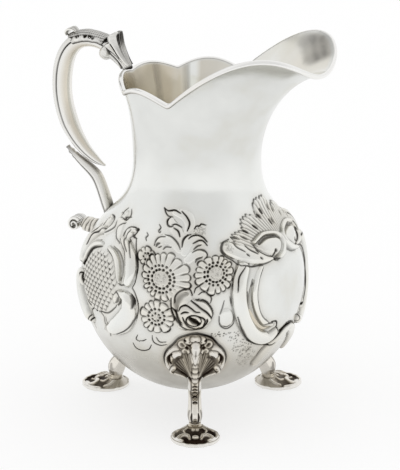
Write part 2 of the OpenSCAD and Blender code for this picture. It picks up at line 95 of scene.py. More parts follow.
def spline(points, step=0.3):
    """Points about one step apart on a smooth line through the given ones."""
    p = np.asarray(points, float)
    p = np.vstack([2 * p[0] - p[1], p, 2 * p[-1] - p[-2]])
    runs = []
    for a, b, c, d in zip(p, p[1:], p[2:], p[3:]):
        n = max(2, int(np.linalg.norm(c - b) / step))
        t = np.linspace(0, 1, n, endpoint=False)[:, None]
        runs.append(b + 0.5 * t * (c - a + t * (2 * a - 5 * b + 4 * c - d + t * (3 * (b - c) + d - a))))
    return np.vstack(runs + [p[-2:-1]])


def ease(x, low, high):
    """0 below low, 1 above high, smooth between."""
    t = np.clip((x - low) / (high - low), 0, 1)
    return t * t * (3 - 2 * t)


def peak(x, width):
    """A bell that is 1 at x = 0."""
    return np.exp(-((x / width) ** 2))


def bulge(x):
    """Height at x of a half-circle of radius 1."""
    return np.sqrt(np.clip(1 - x * x, 0, 1))


def wave(x):
    """A wave between 0 and 1."""
    return 0.5 + 0.5 * np.cos(x)


def along(table, t):
    """Value of a table at t."""
    places, values = np.asarray(table, float).T
    return np.interp(t, places, values)


def unit(v):
    return v / np.maximum(np.linalg.norm(v, axis=-1, keepdims=True), 1e-9)


def direction(turn, rise):
    """Unit vector at an angle around the jug and an angle above the table, in degrees."""
    turn, rise = math.radians(turn), math.radians(rise)
    return (math.cos(rise) * math.cos(turn), math.cos(rise) * math.sin(turn), math.sin(rise))


def blur(field, sigma):
    """Gaussian blur of a 2-D array, with sigma in cells."""
    reach = int(3 * sigma) + 1
    weights = np.exp(-0.5 * (np.arange(-reach, reach + 1) / sigma) ** 2)
    weights /= weights.sum()
    for _ in ("down", "across"):
        wide = np.pad(field, [(reach, reach), (0, 0)], mode="edge")
        field = sum(w * wide[k : k + len(field)] for k, w in enumerate(weights)).T
    return field


# Meshes


def grid_quads(rows, cols, around=False, over=False, start=0):
    """Faces of a grid of points, counted row by row.

    around joins the last column to the first, over the last row to the first.
    """
    j, i = np.meshgrid(np.arange(rows - (not over)), np.arange(cols - (not around)), indexing="ij")
    up, on = (j + 1) % rows * cols, (i + 1) % cols
    faces = np.stack([j * cols + i, j * cols + on, up + on, up + i], -1)
    return start + faces.reshape(-1, 4)


def add_piece(node, suffix, points, faces, dark, warm=None, normals=None):
    """A mesh from points in millimetres and arrays of faces, riding on the jug in place of a node.

    dark and warm are the tarnish and the yellow cast of each point, from 0 to 1; some pieces also carry
    painted shade and painted reflections in them.
    """
    name = node + "_" + suffix
    points = (np.asarray(points, float).reshape(-1, 3) + [AXIS_X, 0, 0]) * MM
    corners = np.concatenate([f.ravel() for f in faces]).astype(np.int32)
    sizes = np.concatenate([np.full(len(f), f.shape[1]) for f in faces]).astype(np.int32)
    starts = np.concatenate([[0], np.cumsum(sizes)[:-1]]).astype(np.int32)
    mesh = bpy.data.meshes.new(name)
    mesh.vertices.add(len(points))
    mesh.vertices.foreach_set("co", points.astype(np.float32).ravel())
    mesh.loops.add(len(corners))
    mesh.loops.foreach_set("vertex_index", corners)
    mesh.polygons.add(len(sizes))
    mesh.polygons.foreach_set("loop_start", starts)
    mesh.polygons.foreach_set("loop_total", sizes)
    mesh.update(calc_edges=True)
    mesh.validate()
    mesh.shade_smooth()
    for label, values in (("dark", dark), ("warm", warm)):
        values = np.zeros(len(points)) if values is None else np.asarray(values)
        cells = mesh.attributes.new(label, "FLOAT", "POINT").data
        cells.foreach_set("value", values.astype(np.float32).ravel())
    if normals is not None:
        mesh.normals_split_custom_set_from_vertices(np.asarray(normals, float).reshape(-1, 3))
    piece = bpy.data.objects.new(name, mesh)
    bpy.context.scene.collection.objects.link(piece)
    slot = SLOTS[node.split("_")[0]]
    piece.data.materials.append(MATERIALS[slot])
    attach(piece, "root")
    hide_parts(node)


def add_rings(node, suffix, rings, dark, warm=None, normals=None, end_dark=0.0):
    """A closed solid through rings of points, its ends closed onto their middles."""
    m, n, _ = rings.shape
    points = np.vstack([rings.reshape(-1, 3), rings[0].mean(0), rings[-1].mean(0)])
    i = np.arange(n)
    k = (i + 1) % n
    low = np.stack([np.full(n, m * n), k, i], -1)
    high = np.stack([np.full(n, m * n + 1), (m - 1) * n + i, (m - 1) * n + k], -1)
    faces = [grid_quads(m, n, around=True), low, high]
    dark = np.append(dark, [end_dark, end_dark])
    warm = None if warm is None else np.append(warm, [0, 0])
    add_piece(node, suffix, points, faces, dark, warm, normals)


def add_sheet(node, suffix, outer, inner, dark, inner_dark, warm=None):
    """A closed sheet between two grids of points; with warm, its inner side is all yellow."""
    m, n, _ = outer.shape
    index = np.arange(m * n).reshape(m, n)
    edge = np.concatenate([index[0, :-1], index[:-1, -1], index[-1, :0:-1], index[:0:-1, 0]])
    after = np.roll(edge, -1)
    sides = np.stack([after, edge, edge + m * n, after + m * n], -1)
    faces = [grid_quads(m, n), grid_quads(m, n, start=m * n)[:, ::-1], sides]
    dark = np.stack([dark, np.broadcast_to(inner_dark, dark.shape)])
    warm = None if warm is None else np.stack([warm, np.ones(warm.shape)])
    add_piece(node, suffix, np.stack([outer, inner]), faces, dark, warm)


def turned(points, angle):
    """Points turned about the axis of the body."""
    a = math.radians(angle)
    return points @ np.array([[math.cos(a), math.sin(a), 0], [-math.sin(a), math.cos(a), 0], [0, 0, 1]])


# Materials


class Tree:
    """Shader nodes of a material or of the world."""

    def __init__(self, owner):
        owner.use_nodes = True
        self.nodes, self.links = owner.node_tree.nodes, owner.node_tree.links

    def fill(self, node, inputs):
        """Gives inputs of a node a plain value or a link."""
        for socket, value in inputs.items():
            if isinstance(value, bpy.types.NodeSocket):
                self.links.new(value, node.inputs[socket])
            else:
                node.inputs[socket].default_value = value

    def add(self, kind, inputs, output, **settings):
        """A new node; returns one of its outputs."""
        node = self.nodes.new("ShaderNode" + kind)
        for name, value in settings.items():
            setattr(node, name, value)
        self.fill(node, inputs)
        return node.outputs[output]

    def math(self, operation, *values):
        return self.add("Math", dict(enumerate(values)), "Value", operation=operation)


def silver(name, base, tarnish, roughness, grain):
    """Polished silver with fine wear marks, a soft planished surface, and the tarnish colour where a piece is
    dark, which also lays on the painted shade some pieces carry.
    """
    material = bpy.data.materials.new(name)
    tree = Tree(material)
    place = tree.add("TexCoord", {}, "Object")

    def noise(scale, detail, stretch=(1, 1, 1)):
        spot = tree.add("Mapping", {"Scale": stretch, "Vector": place}, "Vector")
        return tree.add("TexNoise", {"Scale": scale, "Detail": detail, "Vector": spot}, "Fac")

    def ramp(value, stops):
        output = tree.add("ValToRGB", {"Fac": value}, "Color")
        elements = output.node.color_ramp.elements
        while len(elements) < len(stops):
            elements.new(0.5)
        for element, (position, colour) in zip(elements, stops):
            element.position = position
            element.color = (*colour, 1)
        return output

    def blend(factor, a, b):
        return tree.add("Mix", {"Factor": factor, "A": a, "B": b}, "Result", data_type="RGBA")

    def attribute(label):
        return tree.add("Attribute", {}, "Fac", attribute_name=label)

    cloud = noise(45, 4)
    speck = noise(900, 3)
    scratch = noise(260, 6, (1, 1, 0.08))
    bright = tuple(min(1, c * 1.015) for c in base)
    pale = tuple(c * w for c, w in zip(base, (0.975, 0.955, 0.9)))
    metal = ramp(cloud, [(0.3, bright), (0.55, base), (0.8, pale)])
    tan = ramp(cloud, [(0.3, YELLOWED), (0.7, tuple(c * 0.88 for c in YELLOWED))])
    metal = blend(attribute("warm"), metal, tan)
    stain = ramp(speck, [(0.35, tuple(c * 0.6 for c in tarnish)), (0.7, tarnish)])
    uneven = tree.math("ADD", tree.math("MULTIPLY", cloud, 1.4), 0.3)
    depth = tree.math("MINIMUM", tree.math("MULTIPLY", attribute("dark"), uneven), 1)
    worn = tree.math("ADD", tree.math("MULTIPLY", scratch, 0.1), roughness - 0.05)
    rough = tree.math("ADD", worn, tree.math("MULTIPLY", depth, 0.45))
    hammered = tree.math("ADD", noise(120, 2), tree.math("MULTIPLY", scratch, 0.05))
    bump = tree.add("Bump", {"Strength": grain, "Distance": 0.0004, "Height": hammered}, "Normal")
    tree.fill(tree.nodes["Principled BSDF"], {"Metallic": 1.0, "Base Color": blend(depth, metal, stain),
                                              "Roughness": rough, "Normal": bump})
    return material


TARNISH = (0.02, 0.015, 0.01)
BROWN_TARNISH = (0.036, 0.022, 0.014)
# Thin tarnish all over the body, which is rubbed away on what stands out
FILM = 0.17
# How much of it is rubbed off the shoulder
SHOULDER_RUB = 0.08
# The film underneath the bowl, with painted shade added there: the shadowed floor reflected in it
BASE_FILM_AND_SHADE = FILM + 0.2
YELLOWED = (0.78, 0.71, 0.58)
MATERIALS = {
    "body_silver": silver("body_silver", (0.915, 0.925, 0.9), TARNISH, 0.13, 0.14),
    "rim_silver": silver("rim_silver", (0.9, 0.895, 0.875), TARNISH, 0.15, 0.08),
    "handle_silver": silver("handle_silver", (0.87, 0.86, 0.825), TARNISH, 0.2, 0.12),
    "leg_silver": silver("leg_silver", (0.85, 0.83, 0.79), BROWN_TARNISH, 0.2, 0.14),
}
# Slot of a node, by the first word of its name
SLOTS = {"body": "body_silver", "rim": "rim_silver", "handle": "handle_silver",
         "knee": "leg_silver", "leg": "leg_silver", "foot": "leg_silver"}


# Body: t runs 0 to 1 up the bowl, to 2 up the shoulder, to 3 at the rim


def rim_table():
    """Angle, radius and height along half of the rim, from the lip to the handle, notches softened."""
    x, y, z = bezier([[LIP_REACH, 0, LIP_Z], [LIP_REACH, 18, LIP_Z - 1], [55, RIM_HALF + 3.2, LIP_PULL_Z],
                      [NOTCH_X, RIM_HALF, NOTCH_Z]], 400).T
    lip = np.stack([np.degrees(np.arctan2(y, x)), np.hypot(x, y), z], -1)
    t = np.linspace(0, 1, 120)
    notch = math.degrees(math.atan2(RIM_HALF, NOTCH_X))
    side = np.stack([mix(notch, BACK_NOTCH, t), mix(math.hypot(NOTCH_X, RIM_HALF), BACK_R, t),
                     NOTCH_Z + SIDE_RISE * np.sin(np.pi * t)], -1)
    arch = BACK_RISE * np.sin(np.pi / 2 * t) + BACK_ARCH * np.sin(np.pi * t)
    back = np.stack([mix(BACK_NOTCH, 180, t), BACK_R + 0 * t, NOTCH_Z + arch], -1)
    rim = np.vstack([lip, side[1:], back[1:]])
    even = np.linspace(0, 180, 721)
    reach = 20
    soft = np.exp(-0.5 * (np.arange(-reach, reach + 1) / 5) ** 2)
    columns = [np.pad(np.interp(even, rim[:, 0], rim[:, k]), reach, mode="reflect") for k in (1, 2)]
    return [even] + [np.convolve(c, soft / soft.sum(), "valid") for c in columns]


RIM_ANGLE, RIM_R, RIM_Z = rim_table()


def body_points(angles, levels):
    """Points on the outside of the body, as a grid of levels by angles."""
    rim_r = np.interp(np.abs(angles), RIM_ANGLE, RIM_R)
    rim_z = np.interp(np.abs(angles), RIM_ANGLE, RIM_Z)
    a = np.radians(angles)
    waist = WAIST_R + WAIST_SHIFT * np.cos(a)
    lean = 12 + 60 * ease(np.abs(angles), 0, 85)
    pull = 0.34 * np.hypot(rim_r - waist, rim_z - WAIST_Z)
    pull_r, pull_z = rim_r - pull * np.cos(np.radians(lean)), rim_z - pull * np.sin(np.radians(lean))
    rows = []
    for t in levels:
        if t <= 1:
            r = BELLY_R * math.sin(math.pi / 2 * t) + 0 * a
            z = BELLY_Z - (BELLY_Z - BOTTOM_Z) * math.cos(math.pi / 2 * t) + 0 * a
        elif t <= 2:
            r = cubic(BELLY_R, BELLY_R, waist, waist, t - 1)
            z = cubic(BELLY_Z, BELLY_Z + SHOULDER_LOW, WAIST_Z - SHOULDER_HIGH, WAIST_Z, t - 1) + 0 * a
        else:
            r = cubic(waist, waist, pull_r, rim_r, t - 2)
            z = cubic(WAIST_Z, WAIST_Z + 18 - 0.08 * lean, pull_z, rim_z, t - 2)
        rows.append(np.stack([r * np.cos(a), r * np.sin(a), z], -1))
    return np.array(rows)


def outward(points):
    """Unit normals of a grid of points that closes around the jug, column by column."""
    wide = np.concatenate([points[:, -1:], points, points[:, :1]], 1)
    return unit(np.cross(wide[:, 2:] - wide[:, :-2], np.gradient(points, axis=0)))


def profile():
    """Levels t with their radius and millimetres up the surface from the widest ring."""
    t = np.linspace(0.02, 2, 1600)
    _, r, z = body_points(np.array([90.0]), t)[:, 0].T
    v = np.concatenate([[0], np.cumsum(np.hypot(np.diff(r), np.diff(z)))])
    return t, r, v - np.interp(1, t, v)


PROFILE_T, PROFILE_R, PROFILE_V = profile()
COLUMNS = 1080
CHASED_LOW, CHASED_HIGH, CELL = -36.0, 48.0, 0.28
ANGLES = -180 + 360 / COLUMNS * np.arange(COLUMNS)
ROWS_V = np.linspace(CHASED_LOW, CHASED_HIGH, int((CHASED_HIGH - CHASED_LOW) / CELL))
ROWS_T = np.interp(ROWS_V, PROFILE_V, PROFILE_T)
ROWS_R = np.interp(ROWS_V, PROFILE_V, PROFILE_R)
HALF = COLUMNS // 2 + 1


class Relief:
    """Chased and cast ornament on a grid of cells, drawn at places in mm across (s) and up (v).

    height is the relief in millimetres, dark the tarnish from 0 to 1, and the painted shade drawn into it.
    """

    def __init__(self, s, v, height=None, dark=None):
        self.s, self.v = s, v
        self.height = np.zeros(s.shape) if height is None else height
        self.dark = np.zeros(s.shape) if dark is None else dark

    def folded(self):
        """The same cells, for what is drawn on one side and appears on both."""
        return Relief(np.abs(self.s), self.v, self.height, self.dark)

    def window(self, points, reach):
        """Slices of the cells within reach of the points, and the places of these cells."""
        low, high = np.min(points, 0) - reach, np.max(points, 0) + reach
        near = (self.s > low[0]) & (self.s < high[0]) & (self.v > low[1]) & (self.v < high[1])
        hits = [np.flatnonzero(near.any(axis)) for axis in (1, 0)]
        cut = tuple(slice(k[0], k[-1] + 1) if len(k) else slice(0) for k in hits)
        return cut, self.s[cut], self.v[cut]

    def measure(self, points, reach):
        """Cells near a smooth line: slices, distance to it, and share of its length there."""
        path = spline(points)
        cut, s, v = self.window(path, reach)
        best, share = np.full(s.shape, np.inf), np.zeros(s.shape)
        length = np.concatenate([[0], np.cumsum(np.linalg.norm(np.diff(path, axis=0), axis=1))])
        for k, (a, b) in enumerate(zip(path, path[1:])):
            d = b - a
            t = np.clip(((s - a[0]) * d[0] + (v - a[1]) * d[1]) / max(d @ d, 1e-9), 0, 1)
            gap = np.hypot(s - a[0] - t * d[0], v - a[1] - t * d[1])
            nearer = gap < best
            best[nearer] = gap[nearer]
            share[nearer] = (mix(length[k], length[k + 1], t) / length[-1])[nearer]
        return cut, best, share

    def band(self, points, widths, margin):
        """Cells near a line of changing half-width: slices, distance to it, and half-width there."""
        widths = np.atleast_1d(widths)
        cut, gap, share = self.measure(points, widths.max() + margin)
        return cut, gap, np.interp(share, np.linspace(0, 1, len(widths)), widths)

    def ellipse(self, centre, radii, lean):
        """Cells near an ellipse: slices, and distance from its centre as a share of its radius."""
        cut, s, v = self.window([centre], max(radii) + 1)
        x, y = s - centre[0], v - centre[1]
        c, d = math.cos(math.radians(lean)), math.sin(math.radians(lean))
        return cut, np.hypot((x * c + y * d) / radii[0], (y * c - x * d) / radii[1])

    def sink(self, cut, mark, depth, tone):
        """Sinks and darkens cells by a mark from 0 to 1."""
        self.height[cut] -= depth * mark
        self.dark[cut] = np.maximum(self.dark[cut], tone * mark)

    def line(self, points, width=0.34, depth=0.3, tone=0.95):
        """A chased line that thins out at both ends."""
        cut, gap, share = self.measure(points, 4 * width)
        thin = 0.45 + 0.55 * np.sin(np.pi * np.clip(share, 0.02, 0.98)) ** 0.5
        self.sink(cut, np.minimum(1, 1.3 * np.exp(-((gap / (1.1 * width * thin)) ** 3))), depth, tone)

    def lines(self, width, *runs, depth=0.3, tone=0.95):
        for points in runs:
            self.line(points, width, depth, tone)

    def roll(self, points, widths, height, flat=0.5, edge=0.0):
        """A raised band of changing half-width with a rounded section, and dark lines at its edges."""
        cut, gap, half = self.band(points, widths, 2)
        x = gap / half
        rise = height * np.clip(1 - x * x, 0, 1) ** flat * np.minimum(1, half / max(widths) + 0.35)
        self.height[cut] = np.where(x < 1, np.maximum(self.height[cut], rise), self.height[cut])
        self.dark[cut] *= np.where(x < 1, 0.1, 1)
        if edge:
            self.sink(cut, peak(gap - half - 0.1, 0.33), 0.2, edge)

    def hollow(self, points, widths, depth, tone):
        """A sunk band of changing half-width, dark inside."""
        cut, gap, half = self.band(points, widths, 1)
        inside = np.clip(1 - (gap / half) ** 2, 0, 1)
        self.height[cut] -= depth * inside
        self.dark[cut] = np.maximum(self.dark[cut], tone * inside**0.7)

    def ridge(self, points, widths, height, polish=0.95):
        """A rounded ridge of changing half-width laid on top of what is there, bright along its crest."""
        cut, gap, half = self.band(points, widths, 1)
        rise = bulge(gap / half)
        self.height[cut] += height * rise
        self.dark[cut] *= 1 - polish * rise

    def dome(self, centre, radii, height, lean=0.0):
        """A rounded boss on an ellipse."""
        cut, q = self.ellipse(centre, radii, lean)
        self.height[cut] = np.maximum(self.height[cut], height * bulge(q))
        self.dark[cut] *= np.where(q < 1, 0.1, 1)

    def boss(self, centre, radii, height, lean=0.0):
        """A rounded boss laid on top of what is there, with a dark edge."""
        cut, q = self.ellipse(centre, radii, lean)
        self.height[cut] += height * bulge(q)
        edge = peak((q - 1.08) * min(radii), 0.3)
        self.dark[cut] = np.maximum(np.where(q < 1, 0, self.dark[cut]), 0.75 * edge)

    def punch(self, centre, radius=0.4, depth=0.35, tone=0.95):
        """A round punch mark."""
        cut, s, v = self.window([centre], 3 * radius)
        gap = np.hypot(s - centre[0], v - centre[1])
        self.sink(cut, np.minimum(1, 1.3 * np.exp(-((gap / radius) ** 4))), depth, tone)

    def matting(self, centre, radii, count, seed, tone=0.6):
        """Small punch marks strewn over an ellipse."""
        random = np.random.default_rng(seed)
        for turn, out in zip(random.uniform(0, 2 * np.pi, count), np.sqrt(random.uniform(0, 1, count))):
            spot = (centre[0] + radii[0] * out * math.cos(turn), centre[1] + radii[1] * out * math.sin(turn))
            self.punch(spot, random.uniform(0.25, 0.36), 0.15, tone * random.uniform(0.6, 1))

    def daisy(self, disc, disc_r, middle, radius, petals, rings, turn=0.0):
        """A flower: a stippled disc, rings of punched dashes, and uneven petals that reach to a circle.

        A ring has its radius, the count and size of its dashes, and half of their length.
        """
        cut, s, v = self.window([middle], radius + 1.5)
        x, y = s - disc[0], v - disc[1]
        out, phi = np.hypot(x, y), np.arctan2(y, x)
        shift = np.array(middle) - disc
        across = shift[0] * np.cos(phi) + shift[1] * np.sin(phi)
        reach = across + np.sqrt(np.maximum(0, radius**2 - shift @ shift + across**2))
        place = phi / (2 * np.pi) * petals + turn + 0.22 * np.sin(3 * phi + petals)
        side = np.abs(2 * (place % 1) - 1)
        hand = np.sin(2.4 * (np.floor(place) % petals))
        tip = reach * (0.84 + 0.04 * hand + 0.14 * bulge(side))
        u = np.clip((out - disc_r) / np.maximum(tip - disc_r, 0.1), 0, 1.2)
        inside = out < tip
        petal = 0.25 + 0.75 * (1 - side**3) * (0.35 + 0.65 * u) * np.clip(1 - u**8, 0, 1)
        crown = np.where(out < disc_r, 0.75 + 0.35 * bulge(out / disc_r), 0)
        self.height[cut] = np.where(inside, np.maximum(petal, crown), self.height[cut])
        self.dark[cut] = np.where(inside, np.where(out < disc_r, 0.16, 0.14 * (1 - u)), self.dark[cut])
        gap = (1 - side) * np.pi * out / petals
        parting = peak(gap, 0.32) * ease(u, 0.3 + 0.15 * hand, 0.8) * (u <= 1.05)
        edge = peak(out - tip, 0.42 + 0.08 * hand) * (0.6 + 0.15 * hand + 0.4 * (1 - side))
        self.sink(cut, np.minimum(1, np.maximum(parting, 1.3 * edge)), 0.25, 1)
        for ring, count, size, dash in rings:
            for k in range(count):
                a = 2 * math.pi * (k + 0.5 * (ring > disc_r * 1.3) + 0.12 * math.sin(5 * k)) / count
                for b in (a - dash / ring, a + dash / ring):
                    self.punch((disc[0] + ring * math.cos(b), disc[1] + ring * math.sin(b)), size, 0.35, 1.0)
        self.matting(disc, (disc_r * 0.8, disc_r * 0.8), int(5 * disc_r**1.5), petals, 0.6)

    def scales(self, middle, radii, wide, tall):
        """Overlapping fish scales with a punch mark below each, inside an ellipse."""
        rows, cells = int(radii[1] / tall) + 1, int(radii[0] / wide) + 1
        for j in range(-rows, rows + 1):
            for i in range(-cells, cells + 1):
                x, y = (i + 0.5 * (j % 2)) * wide, j * tall
                if (x / radii[0]) ** 2 + (y / radii[1]) ** 2 <= 1:
                    self.scale((middle[0] + x, middle[1] + y), wide, tall)

    def scale(self, top, wide, tall):
        cut, s, v = self.window([top], wide)
        x, y = (s - top[0]) / (0.5 * wide), (v - top[1]) / tall
        out = np.hypot(x, np.minimum(y, 0))
        inside = (out < 1) & (y < 0.3)
        self.height[cut] = np.where(inside, 0.55 * ease(-y, -0.6, 0.9), self.height[cut])
        self.sink(cut, peak(out - 1, 0.16) * (y < 0.1), 0, 0.55)
        self.punch((top[0], top[1] - 0.92 * tall), 0.56, 0.3, 0.95)


BELLY_HEIGHT = np.zeros((len(ROWS_V), HALF))
BELLY_DARK = np.zeros((len(ROWS_V), HALF))


def belly_panel(angle, flip=False):
    """The -Y half of the belly, unrolled around one angle; flip draws to the other side of it."""
    turn = -1 if flip else 1
    s = turn * ROWS_R[:, None] * np.radians(ANGLES[:HALF] - angle)[None, :]
    return Relief(s, np.repeat(ROWS_V[:, None], HALF, 1), BELLY_HEIGHT, BELLY_DARK)


def chase_bouquet():
    """Daisies, a rose, leaf sprays and marks above a leg."""
    panel = belly_panel(-60)
    for points, widths, height in [
        ([(-6, 27), (-6, 32), (-8, 36), (-9.5, 39.5)], [0.8, 2.2, 2.6, 1.2], 0.55),
        ([(-3.5, 34), (-2, 38), (-3.5, 41.5), (-8, 42.5)], [0.8, 2.2, 2.6, 1.2], 0.55),
        ([(-6.5, 26), (-9, 30), (-12.5, 30.5), (-16, 28)], [1.2, 2.4, 2.4, 1], 0.6),
        ([(-4.5, 25), (-3, 30), (0.5, 31.5), (4, 29.5)], [1.4, 2.4, 2.2, 0.9], 0.6),
        ([(-3, 22), (0, 24.5), (3, 24.5), (4.5, 23)], [1.6, 2, 1.8, 1], 0.6),
    ]:
        panel.roll(points, widths, height)
    panel.lines(0.5, [(-16.4, 27), (-15.6, 28), (-14.6, 28.4)])
    panel.lines(0.45, [(-5.3, 27.5), (-4.7, 30.7), (-3.1, 32.8), (-1.6, 33.4)])
    panel.lines(
        0.4,
        [(-12.8, 44), (-11, 43), (-8, 43.5), (-5.5, 42.3)], [(-5, 43.2), (-3, 40.8), (-2, 38), (-3, 34.8)],
        [(-9.7, 40.5), (-11.3, 39), (-11.2, 37), (-10, 36.3), (-8.8, 36.5)],
        [(-8.5, 35.8), (-6.7, 34.5), (-6, 32)], [(-12, 32.5), (-9.4, 31.8), (-7, 29.2), (-6, 26.5)],
        [(-2.5, 31.3), (-1, 32.6), (1.3, 33.1), (3.3, 32.1), (5, 30)],
        [(-0.8, 29.3), (1.6, 30.5), (3.3, 30.3), (5, 28.4)], [(-0.5, 26.8), (1, 28.2), (2.5, 28.7)],
        [(-1, 25.3), (1.2, 26.6), (3.6, 26.3), (5, 24.5), (4.7, 23)],
    )
    panel.lines(0.36, [(-17.2, 27.3), (-16.4, 29.7), (-14.8, 31.2), (-12.2, 31.5)],
                [(0, 21), (0.8, 22.3), (3, 23.3)])
    panel.lines(0.34, [(-12.8, 44), (-12, 42), (-10.8, 40.8), (-9, 40.7)],
                [(-9.2, 37), (-7.4, 37.5), (-5.2, 36.5)], [(-13.3, 26), (-12, 27.3), (-9.8, 27.3)])
    panel.lines(0.32, [(-0.2, 35.9), (0.7, 37.2), (2, 37.3), (2.7, 38.1), (4.6, 37.5)])
    panel.lines(0.3, [(-15.5, 26.5), (-14, 27.4)], [(-0.6, 8.2), (0.2, 10.4), (2.2, 11.2), (4.4, 10.2)],
                [(-20.8, 32.3), (-20.3, 31.2), (-21.3, 30), (-20.9, 28.7)])
    panel.lines(0.28, [(1.2, 7.6), (3, 8.8), (5, 8.2)], [(5.4, 7.6), (6.6, 6), (6.2, 4)],
                [(-15, 36.8), (-14.3, 35.4), (-15.3, 34), (-14.8, 33.2), (-14.3, 34)],
                [(-18.3, -11.7), (-17.7, -15), (-14.8, -16.4), (-11.9, -15.7)])
    panel.lines(0.26, [(-27.5, -17.5), (-26, -20), (-23, -20.8), (-19.9, -19.5), (-18.6, -16.7)],
                [(-24, -15.5), (-22.5, -15.3), (-21, -14.2)], [(-16.5, -12.5), (-15, -14.6), (-12.2, -14.4)])
    panel.lines(0.24, [(-25, -12.7), (-25.8, -15), (-24, -16)])
    panel.matting((2.2, 35), (2.6, 2), 60, 3, 0.4)
    panel.daisy((-20.4, 22), 1.1, (-20.6, 22.2), 4.2, 7, [(1.5, 7, 0.4, 0.08)])
    panel.daisy((-14.2, 13.5), 3.5, (-12.2, 14.4), 10.6, 20, [(3.9, 15, 0.48, 0.18), (5.6, 20, 0.52, 0.05)])
    panel.daisy((8.4, 16), 3.2, (7.8, 15.6), 8.4, 16, [(3.4, 13, 0.46, 0.17), (4.7, 16, 0.48, 0.05)], 0.3)
    panel.daisy((-16.3, -2.7), 2.2, (-16, -2.8), 7.6, 13, [(3.5, 13, 0.5, 0.1), (1.7, 7, 0.44, 0.05)], 0.5)
    chase_rose(panel)
    panel.dome((12.8, -3), (3.2, 4.2), 0.8)
    panel.lines(0.3, [(9.8, -2), (10.2, -6), (13, -8), (16, -6), (16.4, -2)],
                [(11.4, -6.4), (13, -7), (14.6, -6.2)], [(12, 4.5), (11.2, 1.5), (10.2, -1)],
                [(14.5, 6), (15.2, 3), (16.5, 0.5)], depth=0.2, tone=0.8)
    panel.matting((9.5, -10.6), (3.4, 1.4), 16, 5, 0.95)
    panel.matting((16, -12), (3.4, 3), 22, 6, 0.8)
    panel.matting((21, -18), (6, 3.6), 60, 7, 0.7)
    panel.matting((22.5, -25.5), (4.6, 6.5), 95, 8, 0.6)


def chase_rose(panel):
    """The bold rose: a brown cupped back petal, a ball of wrapped petals and a dark heart."""
    panel.dome((-5.4, 3), (5, 7.4), 1.5, 10)
    panel.hollow([(-7.6, 1), (-7.6, 4.4), (-6, 7), (-3.4, 8.2)], [0.6, 1.7, 1.9, 1.0], 0.9, 0.55)
    panel.dome((-1, -5.6), (6.4, 2.4), 1.4, 4)
    panel.dome((0.1, -0.6), (7.2, 6.4), 3.0)
    ring = np.radians(np.linspace(0, 360, 13))
    for width, points in [
        (0.4, [(-8.5, 4.1), (-8.2, 6.9), (-6.8, 8.7), (-4.7, 9.8), (-2.3, 9.8), (-1.2, 7.4)]),
        (0.42, [(-9.9, 6.1), (-10.1, 3.3), (-9.6, 0.4), (-8.5, -2.4), (-7.1, -4.6), (-5.4, -5.3)]),
        (0.55, [(-9.2, 1.9), (-7.8, 0.2), (-7.1, -3.1), (-6.1, -4.9)]),
        (0.45, [(-1.7, 5.3), (0.4, 3.9), (2.1, 2.5), (4.5, 0.6), (6.5, -2.1)]),
        (0.36, [(0, 5.7), (3.8, 4.9), (6.2, 2.3), (7.2, -0.6), (6.5, -2.4)]),
        (0.36, [(-6.8, 0.9), (-5.8, 2.8), (-3.7, 3.5), (-1.7, 2.5), (0, 1.2), (1.7, 1)]),
        (0.36, [(-5.8, -0.1), (-4.4, 0.8), (-2.7, 0.9)]),
        (0.42, [(-5.1, -1.5), (-4.4, -3.4), (-3, -5.6), (-0.3, -6.9)]),
        (0.5, [(-6.5, -5.3), (-5.1, -6.4), (-3, -7.5), (0, -7.5), (2.8, -6.4), (4.6, -3.8), (4.6, -2.3)]),
        (0.36, [(1, -0.8), (2.8, -1.5), (3.8, -3), (3.1, -5.3)]),
        (0.34, np.stack([-0.7 + 3 * np.cos(ring), -2.8 + 2.5 * np.sin(ring)], -1)),
    ]:
        panel.line(points, width, 0.4)
    panel.hollow([(-2.2, -1.7), (-0.7, -2.8), (1, -4)], [0.9, 1.6, 1], 1.3, 1.0)


